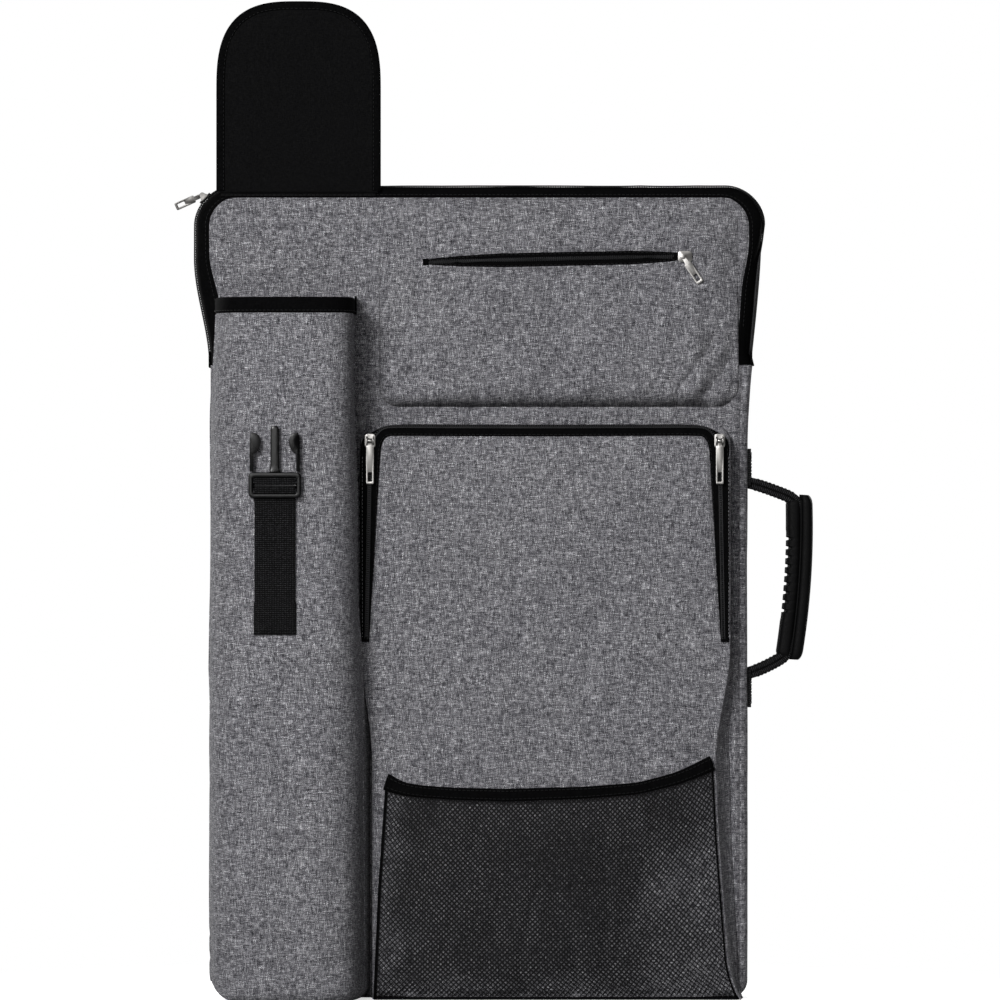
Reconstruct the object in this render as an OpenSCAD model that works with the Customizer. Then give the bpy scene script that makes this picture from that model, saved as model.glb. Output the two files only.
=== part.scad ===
// Portfolio case for drawing boards: a flat zipped case with a tube pocket and its flap, three front
// pockets, a side carry handle and two shoulder straps. It stands upright on its bottom gusset.
// X runs to the right, Y to the back and Z up. The origin is the middle of the bottom gusset.

/* [Case] */
// Width of the case below the zip
body_w = 425; // [415:1:440]
// Height of the case
body_h = 640; // [630:1:660]
// Depth of the main compartment
body_d = 40; // [36:1:48]
// How far each upper side swells past the lower width
flare = 12; // [6:1:14]
// Height of both ends of the main zip
zip_end_z = 500; // [490:1:510]

/* [Tube pocket] */
// Width of the pocket
tube_w = 112; // [106:1:113]
// How far the pocket stands in front of the case
tube_depth = 85; // [70:1:95]
// Height of the pocket's rim
tube_h = 551; // [530:1:560]
// Width of the flap
flap_w = 129; // [124:1:130]
// Length of the flap from its fold to its tip
flap_l = 151; // [145:1:152]

/* [Front pockets] */
// Depth of the zipped front pocket
pocket_d = 22; // [18:1:26]
// Height of the zipped front pocket
pocket_h = 455; // [450:1:458]
// Depth of the upper pocket
upper_d = 10; // [8:1:14]
// Depth of the mesh pocket
mesh_d = 10; // [8:1:16]

/* [Webbing and handle] */
// Width of the buckle's webbing
buckle_web_w = 32; // [30:1:33]
// Width of the handle's webbing
handle_web_w = 20; // [18:1:24]
// Width of the grip, front to back
grip_w = 28; // [24:1:32]

/* [Hidden] */
half_d = body_d / 2;
skin_t = 1.2;        // woven outer fabric
foam_t = 2;
lining_t = 0.8;
gusset_t = 1.5;
tape_t = 1.2;
web_t = 1.3;
seam_in = 6.5;       // the panels' seams lie this far inside the widest outline
arc_n = 10;          // steps in each rounded corner
flare_n = 8;         // steps up each swelling side
front_y = -half_d;                       // outer face of the front panel
panel_y = front_y - pocket_d;            // outer face of the front pocket's panel
fold_y = front_y - 1.5;                  // fold line of the tube flap
fold_z = body_h - 4;
tube_cx = -body_w / 2 + 2 + tube_w / 2;  // middle of the tube pocket
tube_front = front_y - tube_depth;
flap_x = -142.5;
buckle_x = -159;
case_grey = [0.44, 0.44, 0.46];
tape_black = [0.06, 0.06, 0.065];
metal = [0.72, 0.70, 0.68];

// ---- Outlines -------------------------------------------------------------------------------

function lerp(a, b, t) = a + (b - a) * t;
function unit(v) = v / norm(v);
function turned(v) = [-v[1], v[0]];
function ease(t) = let (u = min(1, max(0, t))) u * u * (3 - 2 * u);
function arc(cx, cz, r, a0, a1, n = arc_n) =
    [for (i = [0:n]) let (a = lerp(a0, a1, i / n)) [cx + r * cos(a), cz + r * sin(a)]];
function blend_lists(p, q, t) = [for (i = [0:len(p) - 1]) lerp(p[i], q[i], t)];
function backwards(p) = [for (i = [len(p) - 1:-1:0]) p[i]];
function mirrored(p) = [for (q = p) [-q[0], q[1]]];

// A counter-clockwise outline moved inwards by d.
function inset(p, d) =
    let (n = len(p))
    [for (i = [0:n - 1])
        let (a = turned(unit(p[i] - p[(i + n - 1) % n])), b = turned(unit(p[(i + 1) % n] - p[i])))
        p[i] + d * (a + b) / (1 + a * b)];

// An open line moved to its left by d.
function beside(p, d) =
    let (n = len(p))
    [for (i = [0:n - 1])
        let (a = turned(unit(p[max(i, 1)] - p[max(i, 1) - 1])),
             b = turned(unit(p[min(i, n - 2) + 1] - p[min(i, n - 2)])))
        p[i] + d * (a + b) / (1 + a * b)];
function strip(p, width) = concat(beside(p, -width / 2), backwards(beside(p, width / 2)));

// The case seen from the front, from the bottom left corner counter-clockwise. in is the inset of
// the lower part and top_in that of the swelling upper part.
function side_x(z, z0, z1, in, top_in) =
    body_w / 2 - in + (flare + in - top_in) * ease((z - z0) / (z1 - z0));
function case_outline(in, top_in, r_cut) =
    concat(
        arc(-body_w / 2 + 26, 26, 26 - in, 180, 270),
        arc(body_w / 2 - 14, 14, 14 - in, 270, 360),
        [for (i = [0:flare_n])
            let (z = lerp(435, 600, i / flare_n)) [side_x(z, 435, 600, in, top_in), z]],
        arc(body_w / 2 + flare - top_in - r_cut, body_h - in - r_cut, r_cut, 4, 90),
        arc(-body_w / 2 - flare + top_in + r_cut, body_h - in - r_cut, r_cut, 90, 176),
        [for (i = [0:flare_n])
            let (z = lerp(585, 500, i / flare_n)) [-side_x(z, 500, 585, in, top_in), z]]);
outer_line = case_outline(0, 0, 30);
seam_line = case_outline(seam_in, 10, 24);
outline_n = len(outer_line);

// Where the two ends of the main zip come in those lists, on the right and on the left.
zip_first = min([for (i = [0:outline_n - 1]) if (outer_line[i][0] > 0 && outer_line[i][1] >= zip_end_z - 4) i]);
zip_last = max([for (i = [0:outline_n - 1]) if (outer_line[i][0] < 0 && outer_line[i][1] >= zip_end_z - 4) i]);
// The zip is closed up the left side and open from the slider at the top left to the right end.
function zip_open(i) =
    ease((i - zip_first) / 6) * ease((zip_last - 10 - i) / 7);

function rounded(w, h, r, n = 6) =
    concat(arc(-w / 2 + r, -h / 2 + r, r, 180, 270, n), arc(w / 2 - r, -h / 2 + r, r, 270, 360, n),
           arc(w / 2 - r, h / 2 - r, r, 0, 90, n), arc(-w / 2 + r, h / 2 - r, r, 90, 180, n));
function moved(p, x, z) = [for (q = p) [q[0] + x, q[1] + z]];

// ---- Solids from outlines -------------------------------------------------------------------

// A plate whose outline is given as [x, z], from y0 to y1.
module plate(p, y0, y1) {
    translate([0, y1, 0]) rotate([90, 0, 0]) linear_extrude(y1 - y0) polygon(p);
}
// A bar whose outline is given as [y, z], from x0 to x1.
module bar(p, x0, x1) {
    translate([x0, 0, 0]) rotate([90, 0, 90]) linear_extrude(x1 - x0) polygon(p);
}
// A solid skinned over rings of points that run the same way round. Each ring is a flat strip: its
// second half runs back beside its first, so that both ends close with a row of small faces.
module skinned(rings) {
    n = len(rings);
    m = len(rings[0]);
    last = (n - 1) * m;
    polyhedron(
        points = [for (r = rings) each r],
        faces = concat(
            [for (j = [0:m / 2 - 2]) each [[j, j + 1, m - 2 - j], [j, m - 2 - j, m - 1 - j]]],
            [for (j = [0:m / 2 - 2])
                each [[m - 2 - j, j + 1, j] + last * [1, 1, 1], [m - 1 - j, m - 2 - j, j] + last * [1, 1, 1]]],
            [for (i = [0:n - 2], j = [0:m - 1])
                let (a = i * m + j, b = i * m + (j + 1) % m) each [[a, a + m, b + m], [a, b + m, b]]]));
}
// A band along the case's edge. Each point of its section is [share of the way from the outer
// line to the seam line, inset, y], and section(i) gives the section at the outline's vertex i.
function edge_point(s, i) =
    let (n = outline_n,
         a = lerp(outer_line[(i + n - 1) % n], seam_line[(i + n - 1) % n], s[0]),
         b = lerp(outer_line[i % n], seam_line[i % n], s[0]),
         c = lerp(outer_line[(i + 1) % n], seam_line[(i + 1) % n], s[0]),
         u = turned(unit(b - a)), v = turned(unit(c - b)),
         q = b + s[1] * (u + v) / (1 + u * v))
    [q[0], s[2], q[1]];

// ---- Case body ------------------------------------------------------------------------------

module back_panel() color(case_grey) plate(seam_line, half_d - skin_t, half_d);
module back_board() color("white") plate(inset(seam_line, 2), half_d - skin_t - foam_t, half_d - skin_t);
module back_lining() color(tape_black)
    plate(inset(seam_line, 2), half_d - skin_t - foam_t - lining_t, half_d - skin_t - foam_t);
module front_panel() color(case_grey) plate(seam_line, front_y, front_y + skin_t);
module front_foam() color("white") plate(inset(seam_line, 2), front_y + skin_t, front_y + skin_t + foam_t);
module front_lining() color(tape_black)
    plate(inset(seam_line, 2), front_y + skin_t + foam_t, front_y + skin_t + foam_t + lining_t);

gusset_section = [
    [1, 0, -half_d], [0.45, 0, -half_d + 2.5], [0, 0, -half_d + 8], [0, 0, half_d - 8],
    [0.45, 0, half_d - 2.5], [1, 0, half_d], [1, 0, half_d - 1.4], [0.45, gusset_t, half_d - 3.6],
    [0, gusset_t, half_d - 8.8], [0, gusset_t, -half_d + 8.8], [0.45, gusset_t, -half_d + 3.6],
    [1, 0, -half_d + 1.4]];
module side_gusset() color(case_grey)
    skinned([for (k = [zip_last:zip_first + outline_n]) [for (s = gusset_section) edge_point(s, k)]]);

module bottom_board() color("white")
    translate([-183, -half_d + 9, gusset_t]) cube([372, body_d - 18, 2]);

// ---- Main zip -------------------------------------------------------------------------------

// Half of the zip's section, from the seam to the free edge, on the front side (side = -1) or the
// back. open runs from 0, where the two halves meet, to 1, where the tape stands up on its own.
function tape_section(open, side) = [
    [1, 0, side * half_d],
    [lerp(0.45, 0.6, open), 0, side * (half_d - lerp(2.5, 0.8, open))],
    [0, 0, side * (half_d - lerp(8, 2.8, open))],
    [lerp(0, -0.12, open), 0, side * lerp(2.6, half_d - 5.2, open)],
    [lerp(0, -0.12, open), tape_t, side * lerp(2.6, half_d - 5.2, open)],
    [0, tape_t, side * (half_d - lerp(8.6, 4.2, open))],
    [lerp(0.45, 0.6, open), tape_t, side * (half_d - lerp(3.6, 2.2, open))],
    [1, 0, side * (half_d - 1.4)]];
function coil_section(open, side) =
    let (y = side * lerp(2.6, half_d - 5.2, open), s = lerp(0, -0.12, open))
    [[s, -0.4, y], [s, -0.4, y - side * 1.5], [s, 1.4, y - side * 1.5], [s, 1.4, y]];
module main_zip_tape(side) color(tape_black)
    skinned([for (i = [zip_first:zip_last])
        let (s = tape_section(zip_open(i), side))
        [for (q = side > 0 ? backwards(s) : s) edge_point(q, i)]]);
module main_zip_tape_front() main_zip_tape(-1);
module main_zip_tape_back() main_zip_tape(1);
module main_zip_coils() color(tape_black)
    for (side = [-1, 1])
        skinned([for (i = [zip_first:zip_last])
            let (s = coil_section(zip_open(i), side))
            [for (q = side > 0 ? backwards(s) : s) edge_point(q, i)]]);

// ---- Zip sliders and pulls ------------------------------------------------------------------

slider_l = 11;
slider_w = 8.4;
slider_plate_t = 1.3;
pull_l = 34;
pull_w = 6;
pull_t = 1.4;
pin_r = 0.9;
pin_out = 2.6;       // how far the pull's pin stands in front of the slider's front plate

// A slider that runs along Z and faces -Y: two plates joined by a divider. A pin between two cheeks
// holds its pull, or a headed post does when the pull turns flat against it. gap is the room
// between the plates.
post_z = -1.8;
module slider(gap, divider_t, post = false) color(metal) {
    front = -gap / 2 - slider_plate_t;
    plate(rounded(slider_w, slider_l, 2.2), front, -gap / 2);
    plate(rounded(slider_w, slider_l, 2.2), gap / 2, gap / 2 + slider_plate_t);
    translate([-divider_t / 2, -gap / 2, slider_l / 2 - 4]) cube([divider_t, gap, 3]);
    if (post) {
        translate([0, front + 0.05, post_z]) rotate([90, 0, 0]) cylinder(h = 3, r = 0.9, $fn = 24);
        translate([0, front - 2.2, post_z]) rotate([90, 0, 0]) cylinder(h = 0.8, r = 2, $fn = 32);
    } else {
        for (x = [-2.9, 2])
            translate([x, 0, 0])
                bar([[front, -3.5], [front, 3.5], [front - pin_out - 1.6, 1.4], [front - pin_out - 1.6, -1.4]],
                    0, 0.9);
        translate([-2.9, front - pin_out, 0]) rotate([0, 90, 0]) cylinder(h = 5.8, r = pin_r, $fn = 24);
    }
}
// A pull tab that hangs down from a pin along X through its own origin.
module pull_tab(l = pull_l) color(metal) difference() {
    union() {
        translate([-1.6, 0, 0]) rotate([0, 90, 0]) cylinder(h = 3.2, r = 1.9, $fn = 32);
        translate([-1.6, -pull_t / 2, -5]) cube([3.2, pull_t, 5]);
        plate(moved(rounded(pull_w, l - 4, 1), 0, -4 - (l - 4) / 2), -pull_t / 2, pull_t / 2);
    }
    translate([-3, 0, 0]) rotate([0, 90, 0]) cylinder(h = 6, r = pin_r + 0.12, $fn = 32);
    plate(moved(rounded(3.2, 7.5, 0.6), 0, -l + 5.5), -2, 2);
}
// A flat pull that turns about Y round its own origin.
module flat_pull(l) color(metal) difference() {
    union() {
        plate(rounded(4.4, 4.4, 2), -pull_t / 2, pull_t / 2);
        plate([[-1.7, -8], [1.7, -8], [1.7, 0], [-1.7, 0]], -pull_t / 2, pull_t / 2);
        plate(moved(rounded(pull_w, l - 6.5, 1), 0, -3.25 - l / 2), -pull_t / 2, pull_t / 2);
    }
    plate(moved(rounded(3, 6, 0.6), 0, -l + 5), -2, 2);
    rotate([90, 0, 0]) cylinder(h = 4, r = 1.1, center = true, $fn = 32);
}

front_gap = 3.4;
front_slider_y = panel_y + 0.9;
front_slider_z = 440;
zip_left_x = -85.7;
zip_right_x = 189.6;
pull_y = -front_gap / 2 - slider_plate_t - pin_out;
module front_zip_slider(x) translate([x, front_slider_y, front_slider_z]) slider(front_gap, 1);
module front_zip_pull(x) translate([x, front_slider_y + pull_y, front_slider_z]) pull_tab();
module front_zip_slider_left() front_zip_slider(zip_left_x);
module front_zip_slider_right() front_zip_slider(zip_right_x);
module front_zip_pull_left() front_zip_pull(zip_left_x);
module front_zip_pull_right() front_zip_pull(zip_right_x);

// The main slider sits at the top left corner, where the two halves of the zip part.
main_slider_at = [-body_w / 2 - flare + 30 - 29.5 * cos(45), 0, body_h - 30 + 29.5 * sin(45)];
main_pull_drop = 24;
module main_zip_slider()
    translate(main_slider_at) rotate([0, 45, 0]) rotate([0, 0, -90]) slider(3.4, 1);
main_pin = main_slider_at + (1.7 + slider_plate_t + pin_out) * [-cos(45), 0, sin(45)];
module main_zip_pull() translate(main_pin) rotate([0, 90 - main_pull_drop, 0]) flat_pull(23);

// ---- Tube pocket ----------------------------------------------------------------------------

tube_power = 2.8;
function tube_line(grow) =
    let (a = tube_w / 2 + grow, b = tube_depth * 0.66 + grow, cy = tube_front + tube_depth * 0.66)
    [for (i = [0:59])
        let (t = i * 6, c = cos(t), s = sin(t))
        [tube_cx + a * sign(c) * pow(abs(c), 2 / tube_power), cy + b * sign(s) * pow(abs(s), 2 / tube_power)]];
module tube_column(grow, z0, z1) {
    intersection() {
        translate([0, 0, z0]) linear_extrude(z1 - z0) polygon(tube_line(grow));
        translate([-300, -200, z0]) cube([300, 200 + front_y, z1 - z0]);
    }
}
module tube_pocket_shell() color(case_grey) difference() {
    intersection() {
        tube_column(0, 0, tube_h);
        plate(outer_line, -200, 0);
    }
    intersection() {
        tube_column(-gusset_t, 0, tube_h + 1);
        plate(inset(outer_line, gusset_t), -200, front_y + 1);
    }
}
binding_h = 11;
module tube_pocket_binding() color(tape_black) difference() {
    tube_column(0.9, tube_h - binding_h, tube_h + 0.9);
    tube_column(-gusset_t - 0.9, tube_h - binding_h - 1, tube_h + 2);
    difference() {
        tube_column(0, tube_h - binding_h - 1, tube_h);
        tube_column(-gusset_t, tube_h - binding_h - 1, tube_h);
    }
}

// ---- Tube flap ------------------------------------------------------------------------------

flap_arch_h = 72;
flap_power = 3;
flap_z0 = fold_z + 1;
function flap_line(in) =
    let (a = flap_w / 2 - in, b = flap_arch_h - in, cz = fold_z + flap_l - flap_arch_h)
    concat([[flap_x - a, flap_z0], [flap_x + a, flap_z0]],
        [for (i = [0:36]) let (t = i * 5, c = cos(t), s = sin(t))
            [flap_x + a * sign(c) * pow(abs(c), 2 / flap_power), cz + b * pow(abs(s), 2 / flap_power)]]);
flap_edge = 0.8;     // the binding stands this proud of the flap's layers
module flap_layer(y0, y1) plate(flap_line(flap_edge), y0, y1);
module tube_flap_shell() color(case_grey) flap_layer(fold_y + 0.5, fold_y + 1.5);
module tube_flap_foam() color("white") flap_layer(fold_y - 0.9, fold_y + 0.5);
module tube_flap_lining() color(tape_black) flap_layer(fold_y - 1.5, fold_y - 0.9);
module tube_flap_binding() color(tape_black) difference() {
    plate(flap_line(0), fold_y - 2, fold_y + 2);
    plate(flap_line(flap_edge), fold_y - 1.5, fold_y + 1.5);
    translate([0, 0, -1]) plate(flap_line(7), fold_y - 3, fold_y + 3);
    translate([flap_x - flap_w, fold_y - 5, fold_z]) cube([2 * flap_w, 10, 1.01]);
}

// The flap's hem is sewn flat on the case below the fold.
module tube_flap_hem() color(case_grey)
    translate([flap_x - flap_w / 2 + 4, front_y - 1, fold_z - 14]) cube([flap_w - 8, 1, 11]);

// The strap on the flap's outer face runs to the tip, and its free end hangs down behind the flap.
tip_z = fold_z + flap_l;
swing_y = fold_y + 4.6;
swing_z = tip_z + 1.4;
socket_y = fold_y + 9.9;
socket_bar_z = 718;
module flap_strap_patch() color(tape_black)
    translate([buckle_x - buckle_web_w / 2, fold_y + 2.05, tip_z - 60]) cube([buckle_web_w, web_t, 57]);
module flap_strap() color(tape_black) difference() {
    union() {
        bar(strip([[swing_y, swing_z], [swing_y, swing_z - 6], [socket_y, socket_bar_z]], web_t),
            buckle_x - buckle_web_w / 2, buckle_x + buckle_web_w / 2);
        translate([buckle_x - buckle_web_w / 2, socket_y, socket_bar_z]) rotate([0, 90, 0])
            cylinder(h = buckle_web_w, r = 3.1, $fn = 40);
    }
    translate([buckle_x - buckle_web_w, socket_y, socket_bar_z]) rotate([0, 90, 0])
        cylinder(h = 2 * buckle_web_w, r = 1.75, $fn = 40);
}

// ---- Side-release buckle --------------------------------------------------------------------

buckle_w = 41;
socket_t = 11;
socket_h = 32;
socket_top = socket_bar_z - 4.5;
module buckle_socket() color(tape_black) {
    difference() {
        plate(moved(rounded(buckle_w, socket_h, 4), buckle_x, socket_top - socket_h / 2),
            socket_y - socket_t / 2, socket_y + socket_t / 2);
        translate([buckle_x - 17.5, socket_y - 3.6, socket_top - socket_h - 1]) cube([35, 7.2, 29]);
        for (x = [-1, 1])
            translate([buckle_x + x * 21 - 5, socket_y - 8, socket_top - 23]) cube([10, 16, 12]);
    }
    for (x = [-1, 1])
        plate(moved(rounded(3.6, 10, 1.2), buckle_x + x * (buckle_w / 2 - 1.9), socket_bar_z - 2.5),
            socket_y - 3, socket_y + 3);
    translate([buckle_x - buckle_w / 2 + 2, socket_y, socket_bar_z]) rotate([0, 90, 0])
        cylinder(h = buckle_w - 4, r = 1.6, $fn = 32);
}

// The plug's strap is sewn to the tube pocket at its lower end.
patch_y = tube_front - 0.15;
strap_y = patch_y - web_t - 0.2;
strap_foot_z = 314.5;
plug_z = 395;        // lower edge of the plug's frame
plug_h = 20;
plug_y = strap_y - web_t - 0.1;
plug_t = 6.5;
prong_x = 17.6;
prong_top = plug_z + 51;
module buckle_strap_patch() color(tape_black)
    translate([buckle_x - buckle_web_w / 2 - 0.6, patch_y - web_t, strap_foot_z - 26])
        cube([buckle_web_w + 1.2, web_t, 25]);
module buckle_strap() color(tape_black)
    translate([buckle_x - buckle_web_w / 2, strap_y - web_t, strap_foot_z])
        cube([buckle_web_w, web_t, plug_z - strap_foot_z + 15]);
module buckle_plug() color(tape_black) {
    difference() {
        plate(moved(rounded(buckle_w, plug_h, 3.5), buckle_x, plug_z + plug_h / 2), plug_y - plug_t, plug_y);
        plate(moved(rounded(34, 12.6, 1.5), buckle_x, plug_z + 9.6), plug_y - plug_t - 1, plug_y + 1);
    }
    // adjuster bar across the window
    translate([buckle_x - 17.4, plug_y - 3.2, plug_z + 9.6]) rotate([0, 90, 0])
        cylinder(h = 34.8, r = 1.7, $fn = 24);
    // guide tongue between the prongs
    plate(moved([[-3.9, 0], [3.9, 0], [3.3, 6], [3.3, 34], [2.3, 36.4], [-2.3, 36.4], [-3.3, 34], [-3.3, 6]],
        buckle_x, plug_z + plug_h - 0.2), plug_y - 4.6, plug_y - 1.6);
}
// A sprung prong: a thin stem with a leaf-shaped head that faces the guide tongue.
prong_line = concat([[-1.9, 0.5], [0.9, 0.5], [0.9, 14.5]],
    [for (i = [0:12])
        let (a = 180 * i / 12) [0.9 + 5.6 * sin(a) * (1 - 0.15 * cos(a)), 14.5 + 8.2 * (1 - cos(a))]],
    [[-0.6, 31.2], [-1.9, 27]]);
module prong(side) color(tape_black)
    translate([buckle_x + side * prong_x, 0, plug_z + plug_h])
        plate(side < 0 ? prong_line : backwards(mirrored(prong_line)), plug_y - 5.4, plug_y - 0.8);
module buckle_prong_left() prong(-1);
module buckle_prong_right() prong(1);

// ---- Upper pocket ---------------------------------------------------------------------------

upper_x0 = -76;
upper_x1 = 203;
upper_z0 = 470;
upper_z1 = 628;
slit_x0 = -44;
slit_x1 = 169;
slit_z = 585.5;
slit_h = 11;
upper_y = front_y - upper_d;
upper_line = moved(rounded(upper_x1 - upper_x0, upper_z1 - upper_z0, 14),
    (upper_x0 + upper_x1) / 2, (upper_z0 + upper_z1) / 2);
slit_line = moved(rounded(slit_x1 - slit_x0, slit_h, 2.5), (slit_x0 + slit_x1) / 2, slit_z);
module upper_pocket_front() color(case_grey) difference() {
    plate(upper_line, upper_y, front_y);
    plate(inset(upper_line, gusset_t), upper_y + gusset_t, front_y + 1);
    plate(slit_line, upper_y - 1, front_y);
}
lip_h = 2.6;
module upper_zip_lips() color(tape_black)
    for (z = [slit_z - slit_h / 2, slit_z + slit_h / 2 - lip_h])
        translate([slit_x0 + 2.5, upper_y + 0.2, z]) cube([slit_x1 - slit_x0 - 5, gusset_t, lip_h]);
upper_slider_x = slit_x1 - 6.5;
upper_gap = 2.6;
upper_slider_y = upper_y + 0.2 + gusset_t / 2;
upper_pull_lean = 34;
module upper_zip_slider()
    translate([upper_slider_x, upper_slider_y, slit_z]) rotate([0, 90, 0]) slider(upper_gap, 3, true);
module upper_zip_pull()
    translate([upper_slider_x + post_z, upper_slider_y - upper_gap / 2 - slider_plate_t - 1.15, slit_z])
        rotate([0, -upper_pull_lean, 0]) flat_pull(25);

// ---- Zipped front pocket --------------------------------------------------------------------

// The pocket's foot on the case, from the bottom left corner counter-clockwise.
pocket_line = concat([[-84, 0], [204, 0], [190, 185], [198, 279]],
    arc(182, pocket_h - 16, 16, 0, 90, 6), arc(-77, pocket_h - 16, 16, 90, 180, 6), [[-93, 279], [-84, 185]]);
pocket_open_z = 432; // the gusset's top: above it the pocket is open
zip_foot_z = 283;
module front_pocket_gusset() color(case_grey) difference() {
    plate(pocket_line, panel_y + 1.5, front_y);
    plate(inset(pocket_line, gusset_t), panel_y + 1, front_y + 1);
    translate([-150, panel_y - 1, pocket_open_z]) cube([400, pocket_d + 2, 60]);
}
tape_in = 7.3;       // the panel's edge lies this far inside the chain's middle
panel_line = concat([[-84, 0], [204, 0], [190, 185], [198, 279],
    [zip_right_x + 3.9, zip_foot_z - 2], [zip_right_x - tape_in, zip_foot_z + 8]],
    arc(zip_right_x - tape_in - 12, 434, 12, 0, 90, 5), arc(zip_left_x + tape_in + 12, 434, 12, 90, 180, 5),
    [[zip_left_x + tape_in, zip_foot_z + 8], [zip_left_x - 3.9, zip_foot_z - 2], [-93, 279], [-84, 185]]);
module front_pocket_panel() color(case_grey) plate(panel_line, panel_y, panel_y + 1.5);
chain_y0 = panel_y + 0.1;
chain_y1 = panel_y + 1.5;
module side_tape(x, side, from, to) {
    a = x + side * from;
    b = x + side * to;
    translate([min(a, b), chain_y0, zip_foot_z + 8]) cube([abs(b - a), chain_y1 - chain_y0, 148]);
}
chain_side = [[zip_left_x, -1], [zip_right_x, 1]];
module front_zip_tape_outer() color(tape_black) {
    for (c = chain_side) side_tape(c[0], c[1], 2.7, 7.3);
    // along the top the tape lies on the case
    translate([-77, front_y - tape_t, pocket_h - 6]) cube([259, tape_t, 6]);
}
module front_zip_tape_inner() color(tape_black) {
    for (c = chain_side) side_tape(c[0], -c[1], 2.7, tape_in);
    // along the top the tape stands on the panel's edge
    plate([[-60, 446], [164, 446], [164, 452], [-60, 452]], panel_y, panel_y + tape_t);
}
module front_zip_coils() color(tape_black)
    for (c = chain_side, s = [-1, 1]) side_tape(c[0], s, 0.8, 2.7);

// ---- Mesh pocket ----------------------------------------------------------------------------

mesh_y = panel_y - mesh_d;
mesh_rim = [[-74, 168], [-70, 163], [-45, 157], [20, 155.5], [100, 157], [150, 161], [176, 166], [183, 168]];
mesh_line = concat([[-82, 0], [204, 0], [191, 90]], backwards(mesh_rim));
module mesh_pocket() color(tape_black) difference() {
    plate(mesh_line, mesh_y, panel_y);
    plate([[-80.8, 1.2], [201.8, 1.2], [189.6, 90], [181.6, 190], [-72.6, 190]], mesh_y + 1, panel_y + 1);
}
function rim_h(x) = 10 + 14 * ease((x - 110) / 75) + 5 * ease((-50 - x) / 25);
module mesh_pocket_binding() color(tape_black)
    plate(concat(mesh_rim, backwards([for (q = mesh_rim) [q[0], q[1] + rim_h(q[0])]])), mesh_y, mesh_y + 2);

// ---- Side handle ----------------------------------------------------------------------------

side_x0 = body_w / 2;
handle_top = 406;
handle_foot = 257.5;
handle_axis_x = side_x0 + 3.6 + handle_web_w / 2;
module handle_anchors() color(tape_black)
    for (z = [handle_top, handle_foot - 26.5])
        translate([side_x0, -handle_web_w / 2 - 2, z]) cube([3.2, handle_web_w + 4, 26.5]);
grip_foot = [246.5, 271];
grip_head = [254.5, 394];
grip_bow = 4;
function grip_point(u, off) =
    let (d = unit(grip_head - grip_foot), n = [d[1], -d[0]])
    lerp(grip_foot, grip_head, u) + (off + grip_bow * 4 * u * (1 - u)) * n;
function grip_side(offs, u0 = 0, u1 = 1) =
    [for (i = [0:len(offs) - 1]) grip_point(lerp(u0, u1, i / (len(offs) - 1)), offs[i])];
core_t = 3;
module handle_leg(p) intersection() {
    plate(strip(p, 7), -handle_web_w / 2, handle_web_w / 2);
    // the root is cut round, so that the leg can turn beside the case
    translate([0, 0, handle_foot - 10]) linear_extrude(handle_top - handle_foot + 20) union() {
        translate([handle_axis_x, 0]) circle(r = handle_web_w / 2, $fn = 64);
        translate([handle_axis_x, -handle_web_w / 2]) square([40, handle_web_w]);
    }
}
module handle_webbing() color(tape_black) {
    plate(strip(grip_side([for (i = [0:12]) 0], -0.01, 1.01), core_t - 0.1),
        -handle_web_w / 2, handle_web_w / 2);
    handle_leg([grip_point(1.01, 0), [side_x0 + 1, handle_top + 1]]);
    handle_leg([[side_x0 + 1, handle_foot - 1], grip_point(-0.01, 0)]);
}
outer_offs = [9.5, 11.5, for (i = [0:8]) 12, 11.5, 9.5];
module handle_grip_outer() color(tape_black)
    plate(concat(grip_side(outer_offs, -0.03, 1.03),
        backwards(grip_side([for (i = [0:12]) core_t / 2], 0.045, 0.955))), -grip_w / 2, grip_w / 2);
// Finger side: plain ends with a row of ridges between them.
ridge_n = 9;
function ridge_offs() = [-10, -10.5, -10.5,
    for (i = [0:ridge_n - 1]) each [-8.2, -8.2, -10, -10], -8.2, -10.5, -10.5, -10];
module handle_grip_inner() color(tape_black)
    plate(concat(grip_side([for (i = [0:12]) -core_t / 2], 0.045, 0.955),
        backwards(grip_side(ridge_offs(), 0.045, 0.955))), -grip_w / 2 + 2, grip_w / 2 - 2);

// ---- Shoulder straps ------------------------------------------------------------------------

strap_y0 = half_d + 0.8;
strap_t = 11;
strap_hinge_z = 603;
function bezier(p, t) =
    let (a = lerp(p[0], p[1], t), b = lerp(p[1], p[2], t), c = lerp(p[2], p[3], t))
    lerp(lerp(a, b, t), lerp(b, c, t), t);
strap_route = [[52, 600], [36, 480], [128, 410], [118, 252]];
strap_n = 16;
function strap_ring(u) =
    let (p = bezier(strap_route, u),
         d = unit(bezier(strap_route, min(1, u + 0.01)) - bezier(strap_route, max(0, u - 0.01))),
         n = turned(d), w = 24 + 6 * sin(180 * ease(u)), h = strap_t * (0.55 + 0.45 * ease(min(u, 1 - u) * 8)))
    [for (q = [[-1, 0.25], [-1, 0.75], [-0.85, 1], [0.85, 1], [1, 0.75], [1, 0.25], [0.85, 0], [-0.85, 0]])
        let (s = p + q[0] * w * n) [s[0], strap_y0 + q[1] * h, s[1]]];
module shoulder_strap_right() color(tape_black) skinned([for (i = [0:strap_n]) strap_ring(i / strap_n)]);
module shoulder_strap_left() mirror([1, 0, 0]) shoulder_strap_right();
lock_z = 236;
strap_end_x = 118;
anchor_at = [182, 52];
strap_web_y = strap_y0 + 2.6;
module strap_loop_right() color(tape_black)
    plate(strip([[strap_end_x + 1, 251], [strap_end_x + 1, lock_z + 5.6]], 25), strap_web_y, strap_web_y + 1.6);
module strap_loop_left() mirror([1, 0, 0]) strap_loop_right();
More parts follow.
